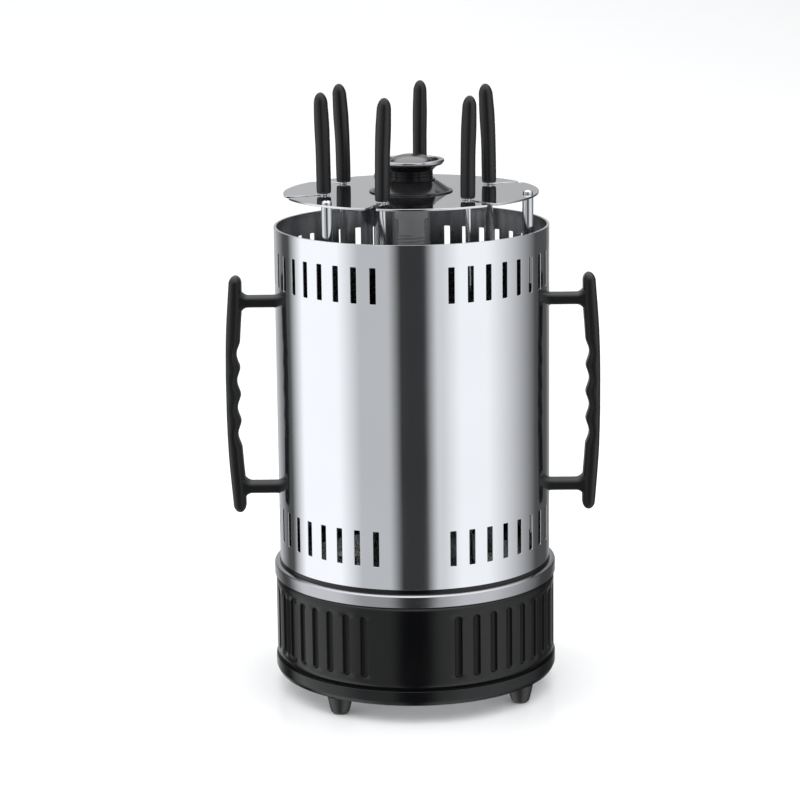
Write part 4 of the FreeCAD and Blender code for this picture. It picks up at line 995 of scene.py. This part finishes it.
@dataclass
class Crown:
    """Top plate with the skewer slots, and the knob at its middle."""
    radius: float = 92.5
    low: float = 367.9
    high: float = 369.4
    edge: float = 0.3
    eye: float = 65.0
    eye_r: float = 4.2
    slot_half: float = 2.6
    narrow_to: float = 86.0
    mouth_half: float = 4.3
    bore: float = 3.05
    angles: tuple[float, ...] = (38.0, 118.0, 174.0, 230.0, 286.0, 342.0)
    saucer: Section = ((16.3, 376.2, 0.1), (27.3, 369.4, 0.2), (30.3, 369.4, 0.3), (30.3, 370.4, 0.4),
                       (28.7, 370.4, 1.2), (18.6, 377.4, 0.5), (16.3, 377.4, 0.2))
    neck: Section = (
        (3.05, 369.4, 0), (15.8, 369.4, 0.2), (15.8, 377.45, 0), (17.6, 377.45, 0.3), (17.6, 378.6, 0.3),
        (16, 378.6, 0.15), (16, 380.4, 0.1), (15.55, 380.6, 0.1), (15.55, 381.0, 0.1), (16, 381.2, 0.1),
        (16, 382.7, 0.1), (15.55, 382.9, 0.1), (15.55, 383.3, 0.1), (16, 383.5, 0.1), (16, 384.9, 2),
        (19, 387.7, 2.5), (23, 389.2, 0.4), (23, 390.2, 0.2), (19.6, 390.2, 0), (19.6, 389, 0),
        (3.05, 389, 0))
    band: Section = ((20.2, 390.2, 0.1), (23.7, 390.2, 0.3), (24.4, 391.2, 0.5), (24, 392.6, 0.5),
                     (20.6, 392.6, 0.4), (20.2, 392.2, 0.2))
    dome_r: float = 15.6
    dome_tall: float = 5.8
    dome_low: float = 390.6
    stem: tuple[Pair, ...] = ((0.01, 360.9), (3, 360.9), (3, 389), (12, 389), (12, 390.2), (15.6, 390.2))
    matt: Moulded = Moulded("neck_moulding", (0.006, 0.006, 0.0065), 0.22, 900.0, 0.000004, gloss=0.2)

    def slot_line(self, angle: float) -> list[Corner]:
        """Outline of one slot, from the mouth inwards round its eye and out again.

        Args:
            angle: station angle of the slot.

        Returns:
            (x, y, rounding) of each corner.
        """
        mouth = math.sqrt(self.radius ** 2 - self.mouth_half ** 2)
        start, steps = math.asin(self.slot_half / self.eye_r), 20
        local = [(-self.mouth_half, mouth, 1.2), (-self.slot_half, self.narrow_to, 4.0)]
        for k in range(steps + 1):
            t = start + (2 * math.pi - 2 * start) * k / steps
            local.append((-self.eye_r * math.sin(t), self.eye + self.eye_r * math.cos(t), 0.0))
        local += [(self.slot_half, self.narrow_to, 4.0), (self.mouth_half, mouth, 1.2)]
        (fx, fy), (sx, sy) = polar(1.0, angle), polar(1.0, angle + 90.0)
        return [(r * fx + u * sx, r * fy + u * sy, c) for u, r, c in local]

    def plate(self) -> None:
        """Blank the plate out and dress its edges."""
        outline: list[Corner] = []
        reach = math.degrees(math.asin(self.mouth_half / self.radius))
        for angle, after in zip(self.angles, self.angles[1:] + (self.angles[0] + 360.0,)):
            outline += self.slot_line(angle)
            first, plain = angle + reach, after - angle - 2 * reach
            count = int(plain / 1.5)
            outline += [(*polar(self.radius, first + plain * k / count), 0.0) for k in range(1, count)]
        holes = [circle(self.bore)]
        blank = flat_blank("slotted_plate", rounded(outline), holes, self.low, self.high, self.edge)
        settle(blank, "top_plate")

    def knob(self) -> None:
        """Turn the saucer, the neck with its flare, the bright band and the domed crown."""
        dome = [(self.dome_r * math.sin(t), self.dome_low + self.dome_tall * math.cos(t))
                for t in (math.radians(6 * k) for k in range(16))]
        dome[0] = (0.01, dome[0][1])
        crown = dome[::-1] + list(self.stem)
        settle(lathe("knob_saucer_shell", rounded(self.saucer), around=160), "knob_saucer")
        self.matt.paint(settle(lathe("knob_neck", rounded(self.neck), around=160), "knob_grip"))
        settle(lathe("knob_bright_band", rounded(self.band), around=160), "knob_band")
        settle(lathe("knob_domed_crown", crown, around=128, crease=40.0), "knob_crown")

    def build(self) -> None:
        """Make the plate and the knob."""
        self.plate()
        self.knob()


@dataclass
class Skewer:
    """Flat steel skewer with its round neck and turned black handle."""
    number: int
    half_wide: float = 3.25
    half_thick: float = 0.75
    neck_r: float = 2.3
    stops: tuple[float, ...] = (57.9, 66.9, 345.0, 358.9, 400.9)
    seat: float = 370.9
    long: float = 72.5
    rings: tuple[tuple[float, ...], ...] = (
        (0, 5, 4.9, 0), (2, 5.3, 5.2, 0), (30, 5.4, 5.2, 0.4), (50, 5.6, 5.3, 1.3), (63, 5.2, 4.95, 2),
        (72.5, 4.9, 4.7, 2.4))
    dome: float = 8.0

    def heading(self, node: str, place: Vector, low: float, high: float) -> float:
        """Heading about the skewer's axis of the farthest corner of a CAD node.

        Args:
            node: the CAD node.
            place: place of the skewer's axis.
            low: height from which corners count.
            high: height up to which they count.

        Returns:
            The heading in radians.
        """
        corners = [v.co / MM for v in frame["nodes"][node].data.vertices]
        far = max((c.xy - place for c in corners if low <= c.z <= high), key=lambda spot: spot.length)
        return math.atan2(far.y, far.x)

    def blade(self) -> bpy.types.Object:
        """Loft the flat blade from its tip to its round neck.

        Returns:
            The blade, about the upright axis.
        """
        tip, shoulder, top, round_from, end = self.stops
        flat, neck = (self.half_wide, self.half_thick, 6), (self.neck_r, self.neck_r, 2)
        shapes = ((tip, 0.5, 0.4, 4), (shoulder, *flat), (top, *flat), (round_from, *neck), (end, *neck))
        rings = [[Vector((u, w, z)) for u, w in squircle(wide, thick, power, 32)]
                 for z, wide, thick, power in shapes]
        return loft(f"skewer_blade_{self.number}", rings, 40.0)

    def handle(self) -> bpy.types.Object:
        """Loft the handle with its soft swell, its slight lean and its domed end.

        Returns:
            The handle, about the upright axis.
        """
        rings, steps, break_tall, break_in = [], 48, 0.3, 0.06
        straight = self.long - self.dome
        heights = [0.0] + [break_tall + (straight - break_tall) * k / steps for k in range(steps + 1)]
        heights += [straight + self.dome * math.sin(math.radians(t)) for t in range(6, 91, 6)]
        for k, h in enumerate(heights):
            a, b, off = (glide([(ring[0], ring[i]) for ring in self.rings], h) for i in (1, 2, 3))
            past = max(0.0, h - straight) / self.dome
            shrink = (math.sqrt(max(0.0, 1 - past ** 2)) or 0.04) - (k == 0) * break_in
            ring = squircle(a * shrink, b * shrink, 2, 40)
            rings.append([Vector((off + u, w, self.seat + h)) for u, w in ring])
        return loft(f"skewer_handle_{self.number}", rings, 50.0)

    def build(self) -> None:
        """Make the blade and the handle on this skewer's station."""
        joints = frame["record"]["behaviour"]["joints"]
        joint = next(j for j in joints if j["name"] == f"socket_{self.number}_spin")
        place = Vector(joint["pos_m"][:2]) / MM
        flat = self.heading(f"skewer_{self.number}", place, 60.0, 300.0)
        lean = self.heading(f"skewer_grip_{self.number}", place, self.seat + self.long - 1.0, 500.0)
        self.place(self.blade(), flat, place, f"skewer_{self.number}")
        self.place(self.handle(), lean, place, f"skewer_grip_{self.number}")

    def place(self, piece: bpy.types.Object, heading: float, place: Vector, node: str) -> None:
        """Turn a piece about its axis, move it onto its station and settle it.

        Args:
            piece: the piece, about the upright axis.
            heading: how far to turn it, in radians.
            place: place of the skewer's axis.
            node: the CAD node that it stands for.
        """
        move = Matrix.Translation((place.x * MM, place.y * MM, 0.0))
        piece.data.transform(move @ Matrix.Rotation(heading, 4, "Z"))
        settle(piece, node)


# ---------------------------------------------------------------- studio
@dataclass(frozen=True)
class Panel:
    """A soft light panel or dark card beside the grill, by the station angles that it spans."""
    start: float
    end: float
    light: float


@dataclass
class Studio:
    """Pale floor, soft surroundings and the camera."""
    eye: Corner = (0.0, -1.8844, 0.6310)
    pitch: float = 11.766
    yaw: float = -0.288
    roll: float = -0.667
    lens: float = 118.0
    shift: float = -0.04
    strength: float = 1.5
    cast: Corner = (0.97, 0.985, 1.0)
    overhead: tuple[float, ...] = (1.33, 1.335, 1.34, 1.0)
    overhead_blend: Pair = (0.45, 0.75)
    floor_half: float = 20000.0
    dome: tuple[Pair, ...] = ((0.01, 29000), (19000, 22000), (29000, 0), (29100, 0), (19100, 22100),
                              (0.01, 29100))
    panels: tuple[Panel, ...] = (
        Panel(-180, -160, 0.6), Panel(-135, -125, 0.1), Panel(-105, -65, 1.4), Panel(-45, -20, 0.7),
        Panel(-10, 10, 0.05), Panel(20, 25, 0.9), Panel(40, 65, 1.3), Panel(125, 150, 0.1),
        Panel(180, 180, 0.6))

    def surroundings(self) -> None:
        """Light the grill by a soft sky whose brightness changes from panel to panel."""
        world = bpy.data.worlds.new("soft_studio")
        bpy.context.scene.world = world
        sky = Graph(world, "Background")
        along = sky.add("SeparateXYZ", {0: sky.add("TexCoord").outputs["Generated"]})
        back = sky.maths("MULTIPLY", along.outputs[1], -1.0)
        angle = sky.maths("ARCTAN2", along.outputs[0], back)
        ramp = sky.add("ValToRGB", {0: sky.maths("MULTIPLY_ADD", angle, 0.5 / math.pi, 0.5)})
        stops = ramp.color_ramp.elements
        stops.remove(stops[1])
        edges = sorted({(turn, panel.light) for panel in self.panels for turn in (panel.start, panel.end)})
        for i, (degrees, light) in enumerate(edges):
            stop = stops[0] if i == 0 else stops.new(degrees / 360.0 + 0.5)
            stop.position = degrees / 360.0 + 0.5
            stop.color = (*(part * light / self.strength for part in self.cast), 1.0)
        start, end = self.overhead_blend
        up = sky.add("MapRange", {0: along.outputs[2], 1: start, 2: end, 3: 0.0, 4: 1.0})
        # Sockets 6 and 7 of the node are its two colours.
        mix = sky.add("Mix", {0: up.outputs[0], 6: ramp.outputs[0], 7: self.overhead}, data_type="RGBA")
        sky.feed(sky.shader, 0, mix.outputs[2])
        sky.feed(sky.shader, 1, self.strength)

    def floor(self) -> None:
        """Lay the floor and set a white dome beyond it, both kept out of the reflections."""
        reach = self.floor_half
        spots = [(-reach, -reach, 0), (reach, -reach, 0), (reach, reach, 0), (-reach, reach, 0)]
        ground = mesh_piece("studio_floor", spots, [(0, 1, 2, 3)])
        graph = Graph(bpy.data.materials.new("floor_white"))
        haze = graph.noise((3.0, 3.0, 3.0), 2.0)
        graph.feed(graph.shader, "Base Color", graph.tint(haze, (0.944, 0.944, 0.944), (0.946, 0.946, 0.946)))
        graph.feed(graph.shader, "Roughness", graph.between(haze, 0.16, 0.162))
        graph.shader.inputs["Specular IOR Level"].default_value = 0.17
        ground.data.materials.append(graph.owner)
        backdrop = lathe("studio_backdrop", self.dome, around=48)
        graph = Graph(bpy.data.materials.new("backdrop_white"))
        graph.shader.inputs["Emission Strength"].default_value = 1.0
        graph.shader.inputs["Emission Color"].default_value = (1.0, 1.0, 1.0, 1.0)
        backdrop.data.materials.append(graph.owner)
        for piece in (ground, backdrop):
            piece.visible_glossy = False
        backdrop.visible_diffuse = backdrop.visible_shadow = backdrop.visible_transmission = False

    def camera(self) -> None:
        """Set the camera at its place, with its lens and small shift."""
        pitch, yaw, roll = (math.radians(a) for a in (self.pitch, self.yaw, self.roll))
        look = Vector((math.sin(yaw) * math.cos(pitch), math.cos(yaw) * math.cos(pitch), -math.sin(pitch)))
        level = Vector((math.cos(yaw), -math.sin(yaw), 0.0))
        upright = level.cross(look)
        side = level * math.cos(roll) + upright * math.sin(roll)
        top = upright * math.cos(roll) - level * math.sin(roll)
        data = bpy.data.cameras.new("main_camera")
        data.lens, data.sensor_width, data.shift_y = self.lens, 36.0, self.shift
        data.clip_start, data.clip_end = 0.05, 100.0
        camera = bpy.data.objects.new("main_camera", data)
        bpy.context.scene.collection.objects.link(camera)
        turn = Matrix((side, top, -look)).transposed().to_4x4()
        camera.matrix_world = Matrix.Translation(self.eye) @ turn
        bpy.context.scene.camera = camera

    def build(self) -> None:
        """Set up the whole studio."""
        self.surroundings()
        self.floor()
        self.camera()
        bpy.context.scene.view_settings.view_transform = "Standard"


def main() -> None:
    """Build every sub-assembly and dress the carried-over nodes."""
    logging.basicConfig(level=logging.INFO, format="%(message)s")
    for node, piece in frame["nodes"].items():
        FINISHES[SLOTS[node]].paint(piece)
    Casing().build()
    for side in Side:
        LiftingHandle(side).build()
    Base().build()
    Heater().build()
    Crown().build()
    for number in range(1, 7):
        Skewer(number).build()
    Studio().build()


if __name__ == "__main__":
    main()
